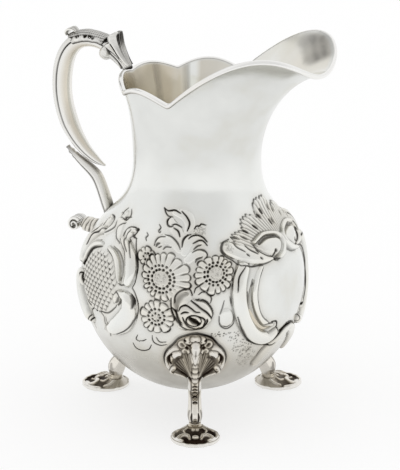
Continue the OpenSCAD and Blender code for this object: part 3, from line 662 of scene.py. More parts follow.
def chase_lip_cartouche():
    """Half of the bare cartouche under the lip: C-scroll, leaf, shell volute and fluted fan."""
    panel = belly_panel(0)
    chase_fan(panel)
    panel.roll([(0, -14.8), (-6.4, -18.9), (-10.9, -24.6), (-12.4, -30.4)], [1.8, 2.8, 3.2, 2.2],
               1.6, 0.5, 0.6)
    panel.line([(3.9, -12.4), (-3.7, -14.4), (-8.9, -17.7), (-14, -22.1), (-15, -27.9)])
    panel.roll([(-26, 17.5), (-29.4, 12), (-30.9, 6), (-30.4, 0), (-27.7, -6.6), (-22.3, -12.8),
                (-15, -16.4), (-10, -14.4)], [2.6, 3.2, 3.4, 3.4, 3.3, 3.2, 3, 1.6], 2.3, 0.6, 0.6)
    panel.roll([(-17.8, 16), (-21.3, 11.5), (-23.4, 6), (-23.3, 1), (-21.5, -4), (-18, -8), (-13.5, -10.2)],
               [1.1, 1.3, 1.4, 1.4, 1.4, 1.4, 1], 0.9)
    panel.hollow([(-23.5, 11.5), (-25.6, 6), (-25.7, 1), (-24, -4), (-20.8, -9), (-16.4, -11.8),
                  (-11.6, -11)], [0.5, 0.9, 1.2, 1.5, 1.7, 1.3, 0.6], 0.9, 0.45)
    panel.hollow([(-26.8, 7), (-27, 1.8), (-25.4, -3.2), (-22.2, -7.7), (-17.4, -11.6), (-13.4, -11.5)],
                 [0.2, 0.5, 0.8, 1.1, 0.9, 0.3], 0.4, 0.95)
    panel.line([(-16.7, 16.2), (-19.8, 12.3), (-22, 6.6), (-21.9, 0.3), (-19.9, -4.8), (-15.5, -8.9)], 0.32)
    panel.line([(-18, -9), (-13.8, -9.2), (-10.7, -9.7), (-9.6, -11.9), (-10.1, -17)], 0.4)
    panel.line([(-32.3, -2.7), (-29.7, -8.5), (-25, -14.5), (-18.6, -18.7), (-11.6, -20.7), (-8.6, -19.9)])
    panel.line([(-26, 17.5), (-30.2, 13.5), (-32, 8)], 0.3)
    panel.roll([(-27.6, 25.6), (-24.5, 23.5), (-20, 21.5), (-15.5, 19.2), (-11, 18.2)],
               [3.9, 4.2, 3.9, 2.6, 0.9], 1.9)
    panel.lines(
        0.42,
        [(-24.9, 30.5), (-28.3, 29.1), (-31, 26.3), (-31.2, 23.3), (-29.2, 20.9), (-27.5, 18.2)],
        [(-27.5, 18.2), (-21.6, 17), (-14.5, 17), (-10.8, 17.5)], [(-24.5, 28.8), (-25, 26), (-23, 23.4)],
        [(-20.8, 26.6), (-20.4, 24), (-18, 21.5)], [(-17.5, 25.9), (-16, 22), (-13.1, 19.7), (-10.6, 19)],
        [(-17.6, 23.4), (-17.2, 22)], [(-22.8, 22.4), (-22.2, 21.4)], [(-17.6, 19.9), (-17, 19.1)],
    )
    panel.matting((-28.4, 26), (1.5, 2.4), 30, 11, 0.5)
    panel.dome((-8, 23.6), (7.6, 5), 2.2, -12)
    panel.hollow([(-14.5, 25.4), (-10, 27.2), (-5, 26.6), (-2, 24.6)], [0.5, 1.1, 1, 0.5], 1, 0.75)
    panel.roll([(-16.4, 26.6), (-10.3, 29), (-4.5, 28.2), (-1.2, 25.8), (-1.2, 22.5), (-4, 19.2),
                (-7.6, 17.6)], [0.9, 1.1, 1.1, 1, 1.2, 1.5, 1], 2.4, 0.5, 0.65)
    panel.line([(-7.9, 17), (-10.1, 18.6), (-8.6, 20.8)], 0.5)
    panel.punch((-8.2, 20.8), 0.8, 0.6)


def chase_fan(panel):
    """Flutes that spread from behind the shell volutes, in three lobes on each side, ragged at their tips."""
    root = np.array([0.0, 10.0])
    first, flute_wide = -54, 3.6
    edge = [[first, 29.5], [-50, 31.2], [-45, 31.6], [-39, 30.2], [-35.5, 28.6], [-33, 30], [-27, 31.8],
            [-19, 31.8], [-15.5, 30], [-13, 28], [-11, 31.5], [-7.5, 34.6], [-3, 35.4], [0, 34.6]]
    cut, s, v = panel.window([(-27, 20), (1, 47)], 2)
    out, lean = np.hypot(s - root[0], v - root[1]), np.degrees(np.arctan2(s - root[0], v - root[1]))
    flute = np.abs(2 * ((lean / flute_wide) % 1) - 1)
    reach = along(edge, lean) - 1.2 * flute**2
    fan = (lean > first) & (lean <= 2) & (out > 15)
    inside = fan & (out < reach)
    fade = ease(reach - out, 0, 2)
    rise = (0.35 + 0.75 * bulge(flute)) * (0.35 + 0.65 * fade)
    panel.height[cut] = np.where(inside, rise, panel.height[cut])
    gap = (1 - flute) * 0.5 * np.radians(flute_wide) * out
    panel.sink(cut, peak(gap, 0.3) * inside * (0.3 + 0.7 * fade), 0, 0.65)
    panel.sink(cut, peak(out - reach, 0.36) * fan, 0.2, 0.95)
    for spot in [(-18.8, 29.6), (-16.4, 32.2), (-10.8, 33.2), (-5.4, 37.2), (-1, 33), (-22.4, 30.4),
                 (-3, 39)]:
        aim = 1.2 * unit(np.array(spot) - root)
        panel.line([spot - aim, spot, spot + aim], 0.65, 0.4)


def chase_side_cartouche(flip):
    """Half of a side cartouche: fish scales, two C-scrolls and leaves."""
    panel = belly_panel(-120, flip)
    panel.scales((0, 7), (12.4, 13.2), 2.7, 2.0)
    panel.roll([(8.5, 26.5), (12, 24.5), (16.8, 20), (19.4, 14.5), (19.2, 10)], [1.6, 2.4, 2.8, 2.8, 2],
               1.9, 0.6, 0.25)
    panel.roll([(10.2, 28.6), (8.8, 30.8), (10.6, 32)], [2.2, 1.9, 1], 1.3)
    panel.roll([(3.2, 21.4), (8.4, 19.3), (12, 15.6), (13.8, 11.4), (14.8, 9)], [0.8, 1.2, 1.4, 1.2, 0.7],
               1.3, 0.5, 0.3)
    panel.hollow([(5.2, 22.3), (9.9, 20.6), (13.8, 16.9), (15.4, 12.6), (15.2, 10)], [0.5, 0.9, 1, 0.8, 0.4],
                 0.8, 0.5)
    panel.roll([(15.5, 4.6), (19.4, 3.2), (20.4, -2.4), (16.8, -8), (10.5, -12.2), (6, -13.4)],
               [1.4, 3, 4.2, 4.4, 3.6, 1.4], 2.3, 0.6, 0.3)
    panel.dome((14.5, 2.2), (2, 2.8), 1.8)
    panel.hollow([(21.7, 5.1), (23.1, 3), (23, 0)], [0.5, 1.1, 0.5], 0.6, 0.95)
    panel.hollow([(15.8, 3), (15.6, 1.4), (14.6, 0.4)], [0.4, 0.7, 0.4], 0.5, 0.9)
    panel.roll([(5.2, 26), (2.2, 30), (0.6, 34), (0.4, 37.4)], [1.2, 2, 1.9, 0.8], 0.9)
    panel.lines(0.38, [(7, 27.3), (6.1, 29.8), (6.6, 32.2), (9, 33.1), (11.6, 32.9)],
                [(11.6, 32.9), (12.2, 31.2), (12.1, 29.3), (14, 28.7)],
                [(0.3, 34.8), (2.3, 34.8), (3, 37.3), (1.3, 39.6)])
    panel.lines(0.36, [(2, 20.5), (7.6, 18.3), (11, 14.7), (12.7, 11.2), (15.2, 8.3), (18.6, 8.8)],
                [(12.4, -0.6), (12.7, 2.4), (14.3, 5), (16.3, 3.9), (16.6, 1.3), (15, -0.9)],
                [(3.1, -6.7), (8.4, -5.9), (12.9, -2.5), (13.9, -1.1)],
                [(3, -7.1), (5, -8.8), (4.8, -11.9), (6.8, -15), (6.1, -17.7)])
    panel.lines(0.34, [(3, 33.5), (1.1, 30), (3.9, 26.6), (7.3, 24.7)])
    panel.lines(0.32, [(-4.2, 36.7), (-1.7, 35.9), (-1.7, 34.6), (0.3, 34.8)])
    panel.lines(0.3, [(14, 28.7), (16.5, 25), (19.4, 21.3), (22, 16.6), (22.6, 11.1), (21.7, 8.1)],
                [(9.6, 31.4), (9.4, 29), (10.7, 25.6), (14.8, 21.9)], [(6.2, -8.4), (6.4, -11), (8.2, -14.4)],
                [(21.7, 8.1), (23.4, 5.9), (24.9, 2.2), (25, -1.8), (22.5, -6.7), (17.8, -11.2),
                 (8.5, -16.1)])
    panel.lines(0.26, [(7, 27.3), (9.6, 24.5), (13.6, 21.6), (16.4, 16.5)])
    panel.lines(0.24, [(12.1, 29.3), (11.9, 27.2), (15.1, 23.5), (17.9, 19.9)])
    panel.punch((11.9, 32.4), 0.7, 0.4)
    panel.punch((6.9, 27.2), 0.6, 0.4)


def shade_around_knee(panel):
    """Painted shade on the belly around the shell of a knee: a dark line close along its edge and a wider
    brown halo.
    """
    q = np.linspace(0.2, 1, 15)
    up = np.interp(1 - mix(KNEE_LOW, KNEE_CREST, q) / 90, PROFILE_T, PROFILE_V) + 0.3
    half = along(KNEE_WIDTH, q) + 0.2
    outline = np.concatenate([np.stack([-half, up], -1), np.stack([half, up], -1)[::-1]])
    panel.line(outline, 1.5, 0, 0.35)
    panel.line(outline, 0.55, 0, 0.9)


def chase_body():
    """Draws all the chasing; returns relief, tarnish with painted shade, and yellow cast around the whole
    body.
    """
    chase_side_cartouche(False)
    chase_side_cartouche(True)
    chase_bouquet()
    chase_lip_cartouche()
    shade_around_knee(belly_panel(-60))
    shade_around_knee(belly_panel(-180))
    mirror = [k if k < HALF else COLUMNS - k for k in range(COLUMNS)]
    height, dark = BELLY_HEIGHT[:, mirror], BELLY_DARK[:, mirror]
    up = ROWS_V[:, None]
    edge = ease(np.minimum(up - CHASED_LOW, CHASED_HIGH - up), 0, 2)
    # Yellower around the tarnish, and towards the bottom of the belly as painted shade, where the shadowed
    # floor is reflected
    cast = np.clip(1.3 * blur(dark, 7) + 0.5 * ease(-up, 8, 34), 0, 0.9)
    rubbed = 0.03 * ease(up - CHASED_LOW, 0, 16) + (SHOULDER_RUB - 0.03) * ease(up, 18, 34)
    sunk = 0.34 * (blur(height, 4) - height) + 0.1 * blur(dark, 2.2)
    # The film stays in the hollows and is rubbed off the shoulder; towards the bottom it is darkened by
    # painted shade, the shadowed floor reflected there
    film = FILM - rubbed + edge * sunk + 0.2 * ease(-up, 12, 36)
    return height * edge, np.maximum(dark * edge, np.clip(film, 0.02, 0.5)), cast


# Quarters of the belly: first and last column
SECTORS = {"near": (180, 450), "lip": (450, 720), "far": (720, 990), "rear": (990, 1260)}
# Tarnish inside the belly
INSIDE_DARK = 0.12


def build_body():
    height, dark, cast = chase_body()
    plain = body_points(ANGLES, ROWS_T)
    out = outward(plain)
    skin = plain + out * height[..., None]
    normals = outward(skin)
    within = plain - out * WALL
    keep = np.unique(np.linspace(0, len(ROWS_T) - 1, 24).astype(int))
    for name, (first, last) in SECTORS.items():
        cols = np.arange(first, last + 1) % COLUMNS
        add_sector("belly_" + name, [a[:, cols] for a in (skin, normals, dark, cast)],
                   [a[keep][:, cols] for a in (within, -out)], keep)
    build_neck()
    build_base()


def add_sector(suffix, outside, inside, keep):
    """A quarter of the belly as a closed sheet: a fine outside, a plain inside with fewer rows."""
    skin, normals, dark, cast = outside
    within, inward = inside
    m, n, _ = skin.shape
    base, count = m * n, len(keep)
    top, lid = base - n, base + (count - 1) * n
    j = np.arange(n - 1)
    low = np.stack([j + 1, j, base + j, base + j + 1], -1)
    high = np.stack([top + j, top + j + 1, lid + j + 1, lid + j], -1)
    triangles = []
    for k in range(count - 1):
        for col, turn in ((0, 1), (n - 1, -1)):
            a, b = base + k * n + col, base + (k + 1) * n + col
            for row in range(keep[k], keep[k + 1]):
                triangles.append([a, row * n + col, (row + 1) * n + col][::turn])
            triangles.append([a, keep[k + 1] * n + col, b][::turn])
    faces = [grid_quads(m, n), grid_quads(count, n, start=base)[:, ::-1], low, high, np.array(triangles)]
    add_piece("body", suffix, np.concatenate([skin, within]), faces,
              np.concatenate([dark, np.full((count, n), INSIDE_DARK)]),
              np.concatenate([cast, np.ones((count, n))]), np.concatenate([normals, inward]))


# Painted reflections in streaks, dark and bright, on the inside of the neck; and its yellow cast, broken
# where a bright streak falls; both by the angle from the lip
NECK_REFLECTION_STREAKS = [[0, 0], [80, 0], [100, 0.05], [112, 0.05], [116, -0.1], [120, -0.1], [123, 0.3], [126, 0.25],
                [129, 0.02], [141, 0.05], [147, 0.06], [150, 0.26], [154, 0.3], [157, 0.03], [165, 0.06],
                [173, 0.2], [180, 0.18]]
NECK_TAN = [[0, 0.1], [8, 0.45], [22, 0.5], [36, 0.3], [50, 0.15], [80, 0.4], [112, 0.6], [117, 0], [121, 0],
            [125, 0.5], [140, 0.95], [180, 1]]
RIM_ANGLES = -180 + 0.5 * np.arange(720)


def build_neck():
    """Neck and lip: outside up to the rim, over the edge, and the inside down again."""
    levels = np.concatenate([np.linspace(ROWS_T[-1], 2, 26)[:-1], np.linspace(2, 3, 46)])
    skin = body_points(RIM_ANGLES, levels)
    out = outward(skin)
    rows = np.concatenate([skin, (skin - WALL * out)[::-1]])
    faces = grid_quads(len(rows), len(RIM_ANGLES), around=True, over=True)
    none = 0 * levels
    deep = np.concatenate([none, ease(3 - levels[::-1], 0.005, 0.05)])[:, None]
    # Painted shade and tarnish: a patchy, yellowish dark band on the outside just under the rim wire
    under = np.concatenate([ease(levels, 2.93, 2.975), none])[:, None]
    rubbed = SHOULDER_RUB * np.concatenate([1 - ease(levels, ROWS_T[-1], 2.2), none])[:, None]
    patchy = 0.6 + 0.4 * np.sin(np.radians(7 * RIM_ANGLES)) * np.sin(np.radians(19 * RIM_ANGLES + 40))
    aside = np.abs(RIM_ANGLES)
    # Inside, dark and bright streaks of painted reflection
    tone = FILM - rubbed + deep * (along(NECK_REFLECTION_STREAKS, aside) - 0.09) + 0.45 * under * patchy
    tan = deep * along(NECK_TAN, aside) + 0.8 * under
    add_piece("body", "neck", rows, [faces], tone, tan, np.concatenate([out, -out[::-1]]))


def build_base():
    """Underside of the bowl, below the chased part."""
    skin = body_points(-180 + 1.2 * np.arange(300), np.linspace(0.02, ROWS_T[0], 40))
    out = outward(skin)
    rings = np.concatenate([skin, (skin - WALL * out)[::-1]])
    normals = np.concatenate([out.reshape(-1, 3), -out[::-1].reshape(-1, 3), [[0, 0, -1], [0, 0, 1]]])
    # Painted shade under the bowl, carried on from the bottom of the belly: a darker film and a half yellow
    # outside
    cast = np.repeat([0.5, 1], out.size // 3)
    add_rings("body", "base", rings, np.full(cast.shape, BASE_FILM_AND_SHADE), cast, normals, BASE_FILM_AND_SHADE)


# Section of the rim wire, over the edge of the wall: [outward, upward] from the outer edge of the rim
WIRE_SECTION = [[0.02, -1.75], [0.6, -1.7], [1, -1.35], [1.12, -0.7], [1.02, -0.1], [0.65, 0.25], [0.1, 0.38],
                [-0.45, 0.34], [-0.85, 0.12], [-1.02, -0.25], [-0.98, -0.6], [-0.5, -0.8]]
# Painted shade along the foot of the wire on both sides, where it meets the wall; it is also its yellow cast
WIRE_FOOT_SHADE = [0.9, 0.8, 0.35, 0.05, 0, 0, 0, 0, 0, 0.1, 0.4, 0.9]


def build_rim_wire():
    """Applied wire along the edge of the rim."""
    near = body_points(RIM_ANGLES, np.array([2.98, 2.99, 3.0]))
    climb = unit(near[-1] - near[0])
    section = spline(WIRE_SECTION + WIRE_SECTION[:1], 0.2)[:-1]
    rings = near[-1] + outward(near)[-1] * section[:, :1, None] + climb * section[:, 1:, None]
    m, n, _ = rings.shape
    # The painted shade along the foot of the wire, used for its yellow cast too
    tones = np.interp(np.linspace(0, 1, m), np.linspace(0, 1, len(WIRE_FOOT_SHADE)), WIRE_FOOT_SHADE)
    tones = np.repeat(tones[:, None], n, 1)
    add_piece("rim_wire", "bead", rings, [grid_quads(m, n, around=True, over=True)], tones, tones)


# Handle: paths of [x, z] points in the plane y = 0, with sections of [outward, sideways] points


def outer_side(path):
    """Unit vectors square to a path, which point away from the grip where it runs from the rim outward."""
    step = unit(np.gradient(path, axis=0))
    return np.stack([step[:, 1], -step[:, 0]], -1)


def sweep(path, section, depth, breadth, normal=None):
    """Rings of points of a section carried along a path."""
    normal = outer_side(path) if normal is None else normal
    out = path[:, None, :] + normal[:, None, :] * (section[None, :, 0] * depth[:, None])[..., None]
    side = section[None, :, 1] * breadth[:, None]
    return np.stack([out[..., 0], side, out[..., 1]], -1)


# Where the stem meets the upper scroll
SCROLL_START = np.array([-41, 152.5])


def upper_path():
    turn = [SCROLL_HALF - HANDLE_REACH, 133]
    rise = bezier([SCROLL_START, [-55, 158.5], [turn[0], 150.5], turn], 90)
    fall = bezier([turn, [turn[0], 118.5], [-55, 103.6], [-42.8, 99.9]], 90)
    return np.vstack([rise, fall[1:]])


SCROLL_DEPTH = [[0, 2.4], [0.25, 3.6], [0.42, SCROLL_HALF], [0.68, 4], [0.82, 3.1], [0.93, 2], [1, 0.35]]
SCROLL_BREADTH = [[0, 3.2], [0.4, SCROLL_SIDE], [0.7, SCROLL_SIDE], [1, 0.7]]
# One side of the section of the upper scroll: outer band, groove, broad side, bevel, inner edge
SCROLL_SECTION = [[1, 0], [0.985, 0.25], [0.93, 0.5], [0.82, 0.72], [0.62, 0.9], [0.4, 0.96], [0.31, 0.94],
                  [0.25, 0.74], [0.19, 0.94], [0.12, 0.985], [0, 1], [-0.18, 0.99], [-0.36, 0.93],
                  [-0.6, 0.75], [-0.78, 0.62], [-0.92, 0.42], [-1, 0.2]]
SCROLL_GROOVE = [0.15, 0.15, 0.18, 0.15, 0.08, 0.06, 0.7, 1, 0.7, 0.05, 0.03, 0.03, 0.06, 0.12, 0.1, 0.05,
                 0.05]
# Painted reflection of the jug: a tan stripe near the inner edge of each side of the upper scroll
SCROLL_TAN_REFLECTION = [0] * 11 + [0.1, 0.4, 0.8, 0.9, 0.4, 0.1]


def both_sides(half):
    half = np.asarray(half, float)
    return np.vstack([half, (half * [1, -1])[:0:-1]])


def all_round(half):
    """Values of one side of a section, repeated for its other side."""
    return np.concatenate([half, half[:0:-1]])[None, :]


def build_upper_scroll():
    path = upper_path()
    t = np.linspace(0, 1, len(path))
    rings = sweep(path, both_sides(SCROLL_SECTION), along(SCROLL_DEPTH, t), along(SCROLL_BREADTH, t))
    tone = all_round(SCROLL_GROOVE) * along([[0, 1], [0.35, 1], [0.5, 0.85], [1, 0.7]], t)[:, None]
    # A tan stripe of painted reflection along the inner side
    tan = all_round(SCROLL_TAN_REFLECTION) * along([[0, 0.4], [0.2, 0.8], [0.8, 1], [1, 0.7]], t)[:, None]
    add_rings("handle_upper_scroll", "bar", rings, tone, tan)


STEM_DEPTH = [[0, 1.9], [0.45, 2.25], [0.78, 2.7], [0.9, 2.65], [0.96, 2.1], [1, 1]]
STEM_BREADTH = [[0, 2.8], [0.45, 3.4], [0.78, 3.8], [0.9, 3.7], [0.96, 3], [1, 1.6]]


def stem_curve():
    """Path of the stem up from the rim and over the start of the scroll, with its normals and shares."""
    seat = [-31.3, NOTCH_Z + BACK_RISE + 0.45 + SOLDER]
    lean = unit(np.array([-14.0, 6.0]))
    end = SCROLL_START
    path = np.vstack([bezier([seat, [-33, 147.4], end - 4.2 * lean, end], 60), end + 2.0 * lean])
    path = spline(path[::4], 0.2)
    t = np.linspace(0, 1, len(path))
    normal = unit(outer_side(path) - 0.4 * ease(t, 0.7, 1)[:, None] * lean)
    normal[0] = [1, 0]
    return path, normal, t


def build_stem():
    """Stem from the rim to a blunt end over the start of the upper scroll."""
    path, normal, t = stem_curve()
    section = unit(both_sides(SCROLL_SECTION))
    rings = sweep(path, section, along(STEM_DEPTH, t), along(STEM_BREADTH, t), normal)
    seam = peak(section[:, 0] + 0.2, 0.2)
    tone = seam * along([[0, 0.6], [0.2, 0.9], [0.75, 0.9], [0.9, 0.5], [1, 0]], t)[:, None]
    tone[:4] = np.maximum(tone[:4], np.array([0.95, 0.8, 0.5, 0.2])[:, None])
    add_rings("handle_stem", "bar", rings, tone)


def build_curl_leaf():
    """Leaf around the underside of the stem, with a rolled upper edge, ribs along it and a round head."""
    path, normal, t = stem_curve()
    part = slice(int(0.06 * len(path)), int(0.93 * len(path)))
    path, normal, t = path[part], normal[part], t[part]
    u = np.linspace(0, 1, len(path))[:, None]
    w = np.linspace(-1, 1, 73)[None, :]
    spread = along([[0, 60], [0.25, 82], [0.62, 90], [0.8, 112], [0.94, 112], [1, 90]], u)
    turn = np.pi + np.radians(spread) * w
    lip = peak(np.abs(w) - 0.9, 0.09)
    rib = wave(11 * np.pi * w + 3 * u) ** 2 * (1 - lip)
    head = bulge((u - 0.8) / 0.2)
    thick = along([[0, 0.35], [0.2, 0.7], [0.6, 0.8], [0.9, 0.5], [1, 0.2]], u) + 2.1 * head
    grow = thick + 0.25 * lip - 0.28 * rib * (1 - head)
    depth, breadth = along(STEM_DEPTH, t)[:, None], along(STEM_BREADTH, t)[:, None]

    def sheet(extra):
        out = (depth + extra) * np.cos(turn)
        return np.stack([path[:, :1] + normal[:, :1] * out, (breadth + extra) * np.sin(turn),
                         path[:, 1:] + normal[:, 1:] * out], -1)

    shade = along([[0, 0.95], [0.5, 0.85], [0.68, 0.3], [0.8, 0], [1, 0]], u)
    tone = np.clip(rib * shade + 0.1 + 0.5 * (1 - ease(u, 0, 0.12)), 0, 1)
    add_sheet("handle_curl_leaf", "shell", sheet(grow), sheet(0 * grow - 0.3), tone, 1)


def build_thumb_leaf():
    """Cupped leaf, round towards the neck, with a pleated middle and a smooth lobe on each side."""
    path = spline([(-29.7, 146), (-31.2, 148.8), (-32.5, 152), (-33.3, 155.6), (-33.9, 160)], 0.2)
    normal = outer_side(path)
    rows = np.arange(len(path), dtype=float)
    u, w = np.linspace(0, 1, len(path))[:, None], np.linspace(-1, 1, 97)[None, ::-1]
    side = np.abs(w)
    notch = peak(side - 0.52, 0.1) + 0.5 * ease(side, 0.85, 1)
    share = u * (1 - 0.13 * notch * u**3)
    spots = share * (len(path) - 1)
    base, aim = (np.stack([np.interp(spots, rows, column) for column in line.T], -1)
                 for line in (path, normal))
    swing = along([[0, 0.5], [0.15, 1.2], [0.5, 2.6], [0.8, 4.6], [0.93, 4.6], [1, 2.6]], share)
    half = along([[0, 2.2], [0.3, 3.1], [0.7, 4.1], [0.9, 3.9], [1, 2]], share)
    pleat = wave(13 * np.pi * w) ** 2
    middle = 1 - ease(side, 0.55, 0.66)
    level = -swing * w**2 - 0.3 * pleat * middle * ease(u, 0.1, 0.4) + 0.3 * (1 - middle)
    lobe = mix(0.35 * np.cos(21 * np.pi * w + 3 * u) ** 4 + 0.15, 0.05, ease(u, 0.5, 0.75))
    shade = along([[0, 0.5], [0.45, 0.55], [0.7, 0.9], [0.92, 0.95], [1, 0.5]], u)
    # Painted shade: the pleated middle of the cup darkens towards its top
    tone = middle * pleat * shade + mix(lobe, 0.2 + 0.45 * ease(u, 0.5, 0.8), middle)
    tone = tone + 0.8 * peak(side - 0.6, 0.05)
    tone = np.clip(tone, 0, 1) * (1 - 0.9 * ease(side, 0.9, 0.97))

    def sheet(drop):
        place = base + aim * (level - drop)[..., None]
        return np.stack([place[..., 0], half * w, place[..., 1]], -1)

    add_sheet("handle_thumb_leaf", "cup", sheet(0.0), sheet(1.0), tone, 0.35 * tone)


def strip(node, suffix, path, depth, breadth, tones, shift=0.0):
    """A cast leaf swept along a path: rounded edges, ribs along it, and dark partings between the ribs."""
    turn = 2 * np.pi * np.arange(64) / 64
    section = np.stack([np.cos(turn), np.sin(turn)], -1)
    section = np.sign(section) * np.abs(section) ** 0.55
    t = np.linspace(0, 1, len(path))
    rings = sweep(path, section, along(depth, t), along(breadth, t))
    ribs = wave(5 * np.pi * section[:, 1] + shift)
    normal = outer_side(path)
    push = 0.22 * ribs**2 * np.sign(section[:, 0]) * along(depth, t)[:, None]
    rings[..., 0] -= push * normal[:, None, 0]
    rings[..., 2] -= push * normal[:, None, 1]
    add_rings(node, suffix, rings, ribs**4 * along(tones, t)[:, None])


# Holes between the lobes of the leaf cap, shallow dents painted dark as painted shade: share of its length,
# share of its half-width, size
CAP_HOLES = [(0.31, 0.86, 0.8), (0.385, 0.8, 1), (0.5, 0.8, 1), (0.71, 0.76, 0.9), (0.9, 0.8, 1.1)]


def build_leaf_cap():
    """Lobed leaf over the top of the upper scroll, finely lined, with holes painted dark in shallow dents,
    and a curled tip.
    """
    top = spline([(-39.8, 156.6), (-40.6, 157.6), (-45.3, 158.6), (-50.1, 159), (-53, 158.6), (-55.5, 157.9),
                  (-58.2, 156.9), (-60.4, 155.4)], 0.14)
    out = outer_side(top)
    t = np.linspace(0, 1, len(top))[:, None]
    x = np.linspace(-1, 1, 121)[None, ::-1]
    lobes = np.abs(np.sin(np.pi * 5 * t))
    half = along([[0, 3.3], [0.15, 4.1], [0.6, 4.5], [0.9, 4.2], [1, 2.6]], t) * (0.88 + 0.12 * lobes)
    drop = along([[0, 2.8], [0.5, 4], [0.85, 4.3], [1, 3]], t) * np.abs(x) ** 2.4
    holes = np.zeros(np.broadcast(t, x).shape)
    for place, reach, size in CAP_HOLES:
        gap = np.hypot((t - place) * 24, 2.2 * (np.abs(x) - reach) * half)
        holes = np.maximum(holes, peak(gap, size))
    edge = ease(np.abs(x), 0.74, 0.95) * ease(t, 0.1, 0.25)
    fine = wave(11 * np.pi * x) * (0.65 + 0.35 * np.cos(150 * t))
    level = 0.4 * edge - 0.9 * holes - drop - 0.1 * fine * (1 - edge)
    butt = 1 - ease(t, 0.012, 0.035)
    # Painted shade: the holes are shallow dents painted black
    tone = np.clip(1.2 * holes + (0.65 * fine + 0.25) * (1 - edge) + butt, 0, 1)

    def sheet(extra, narrow):
        return np.stack([top[:, None, 0] + out[:, None, 0] * (level - extra), half * x * narrow,
                         top[:, None, 1] + out[:, None, 1] * (level - extra)], -1)

    add_sheet("handle_leaf_cap", "lobes", sheet(0.0, 1.0), sheet(1.2, 0.96), tone, 0.8)
    curl = spline([(-55.9, 157.3), (-57, 158.1), (-58.4, 158.4), (-59.8, 157.8), (-60.7, 156.5),
                   (-60.6, 155.2)], 0.15)
    strip("handle_leaf_cap", "tip", curl, [[0, 0.2], [0.3, 0.6], [0.8, 0.6], [1, 0.3]],
          [[0, 1.6], [0.4, 2.8], [0.8, 2.6], [1, 1.6]], [[0, 1], [0.35, 1], [0.55, 0.2], [1, 0.3]], 0.6)


def handle_seat(t):
    """Place on the shoulder under the handle, as [x, z], and the direction down the shoulder there."""
    here, above = (body_points(np.array([180.0]), [1 + k])[0, 0] for k in (t, t + 0.01))
    down = unit(np.array([here[0] - above[0], here[2] - above[2]]))
    return np.array([here[0] - SOLDER * abs(down[1]), here[2] + SOLDER * abs(down[0])]), down


# Lower scroll: one side of its section, the tarnish of its groove and the painted shade along its inner edge
LOWER_SECTION = [[1, 0], [0.98, 0.3], [0.86, 0.6], [0.66, 0.84], [0.48, 0.93], [0.36, 0.78], [0.24, 0.95],
                 [0, 1], [-0.35, 0.92], [-0.65, 0.72], [-0.88, 0.42], [-1, 0.15]]
LOWER_GROOVE = [0, 0, 0, 0, 0.4, 0.9, 0.4, 0, 0, 0.05, 0.1, 0.1]
LOWER_INNER = [0] * 9 + [0.2, 0.9, 1]


def build_lower_scroll():
    """Lower scroll, from its free leafy tip under the upper scroll down to the shoulder."""
    seat, down = handle_seat(0.365)
    bend = [-47.4, 95.2]
    first = bezier([[-61.3, 106], [-57, 101.4], [-51, 98.8], bend], 50)
    second = bezier([bend, [-45.2, 93], [-43.2, 86.5], seat], 50)
    path = np.vstack([first, second[1:]])
    t = np.linspace(0, 1, len(path))
    normal = unit(mix(outer_side(path), down, ease(t, 0.82, 1)[:, None]))
    lobes = 1 + 0.2 * np.cos(2 * np.pi * 14 * t) * (1 - ease(t, 0.06, 0.2))
    depth = along([[0, 0.6], [0.1, 1.2], [0.25, 1.8], [0.5, 2.5], [0.75, 2.4], [1, 2.5]], t) * lobes
    breadth = along([[0, 1.1], [0.3, 2.6], [1, 3.2]], t) * lobes
    rings = sweep(path, both_sides(LOWER_SECTION), depth, breadth, normal)
    # Painted shade along the inner edge, also yellowish, over the first half and near the seat
    inner = all_round(LOWER_INNER)
    shades = [[0.05, 0.3], [0.2, 0.6], [0.45, 0.6], [0.55, 0.1], [0.85, 0.1], [0.95, 0.6], [1, 1]]
    tone = np.maximum(all_round(LOWER_GROOVE) * along([[0, 0.9], [0.5, 0.9], [1, 0.6]], t)[:, None],
                      inner * along(shades, t)[:, None])
    # Darker at the free tip, as painted shade under the upper scroll, and at the seat on the shoulder
    stain = along([[0, 0.55], [0.1, 0.25], [0.2, 0], [0.96, 0], [1, 0.9]], t)[:, None]
    add_rings("handle_lower_scroll", "bar", rings, np.maximum(tone, stain), 0.5 * inner + 0 * tone)


def build_tail():
    """End of the handle: a ribbed cuff on the shoulder and a leaf rolled up on itself."""
    seat, _ = handle_seat(0.215)
    cuff = spline([seat, (-48.9, 72), (-50.6, 72.1), (-52.3, 72.2), (-53.9, 72.4)], 0.1)
    t = np.linspace(0, 1, len(cuff))
    turn = 2 * np.pi * np.arange(72) / 72
    section = np.stack([np.cos(turn), np.sin(turn)], -1)
    ribs = wave(2 * np.pi * (4.6 * t[:, None] + 0.55 * section[:, 0]))
    depth = along([[0, 2.5], [0.25, 3], [0.6, 3.4], [0.85, 3.2], [1, 2.2]], t)
    breadth = along([[0, 2.6], [0.3, 3.4], [0.7, 3.8], [0.9, 3.5], [1, 2.4]], t)
    rings = sweep(cuff, section, depth, breadth)
    rings = mix(rings.mean(1, keepdims=True), rings, 1 - 0.08 * ribs[..., None] ** 3)
    stain = along([[0, 1], [0.08, 0.5], [0.2, 0.05], [0.9, 0.1], [1, 0.8]], t)[:, None]
    add_rings("handle_tail", "cuff", rings, np.maximum(0.85 * ribs**4, stain), np.full(ribs.shape, 0.4))
    turns = np.radians(40 + np.linspace(0, 540, 170))
    radius = np.linspace(TAIL_R + 0.1, 0.7, 170)[:, None]
    roll = np.array([-57.0, 72.0]) + radius * np.stack([np.cos(turns), np.sin(turns)], -1)
    strip("handle_tail", "roll", roll, [[0, 0.9], [0.4, 0.6], [1, 0.5]], [[0, 3.3], [0.3, 3.6], [1, 4]],
          [[0, 0.7], [0.3, 0.5], [0.5, 0.35], [1, 0.6]])


# Legs, drawn at the angle 0 and turned into place; the shell of a knee reaches further up than its solid


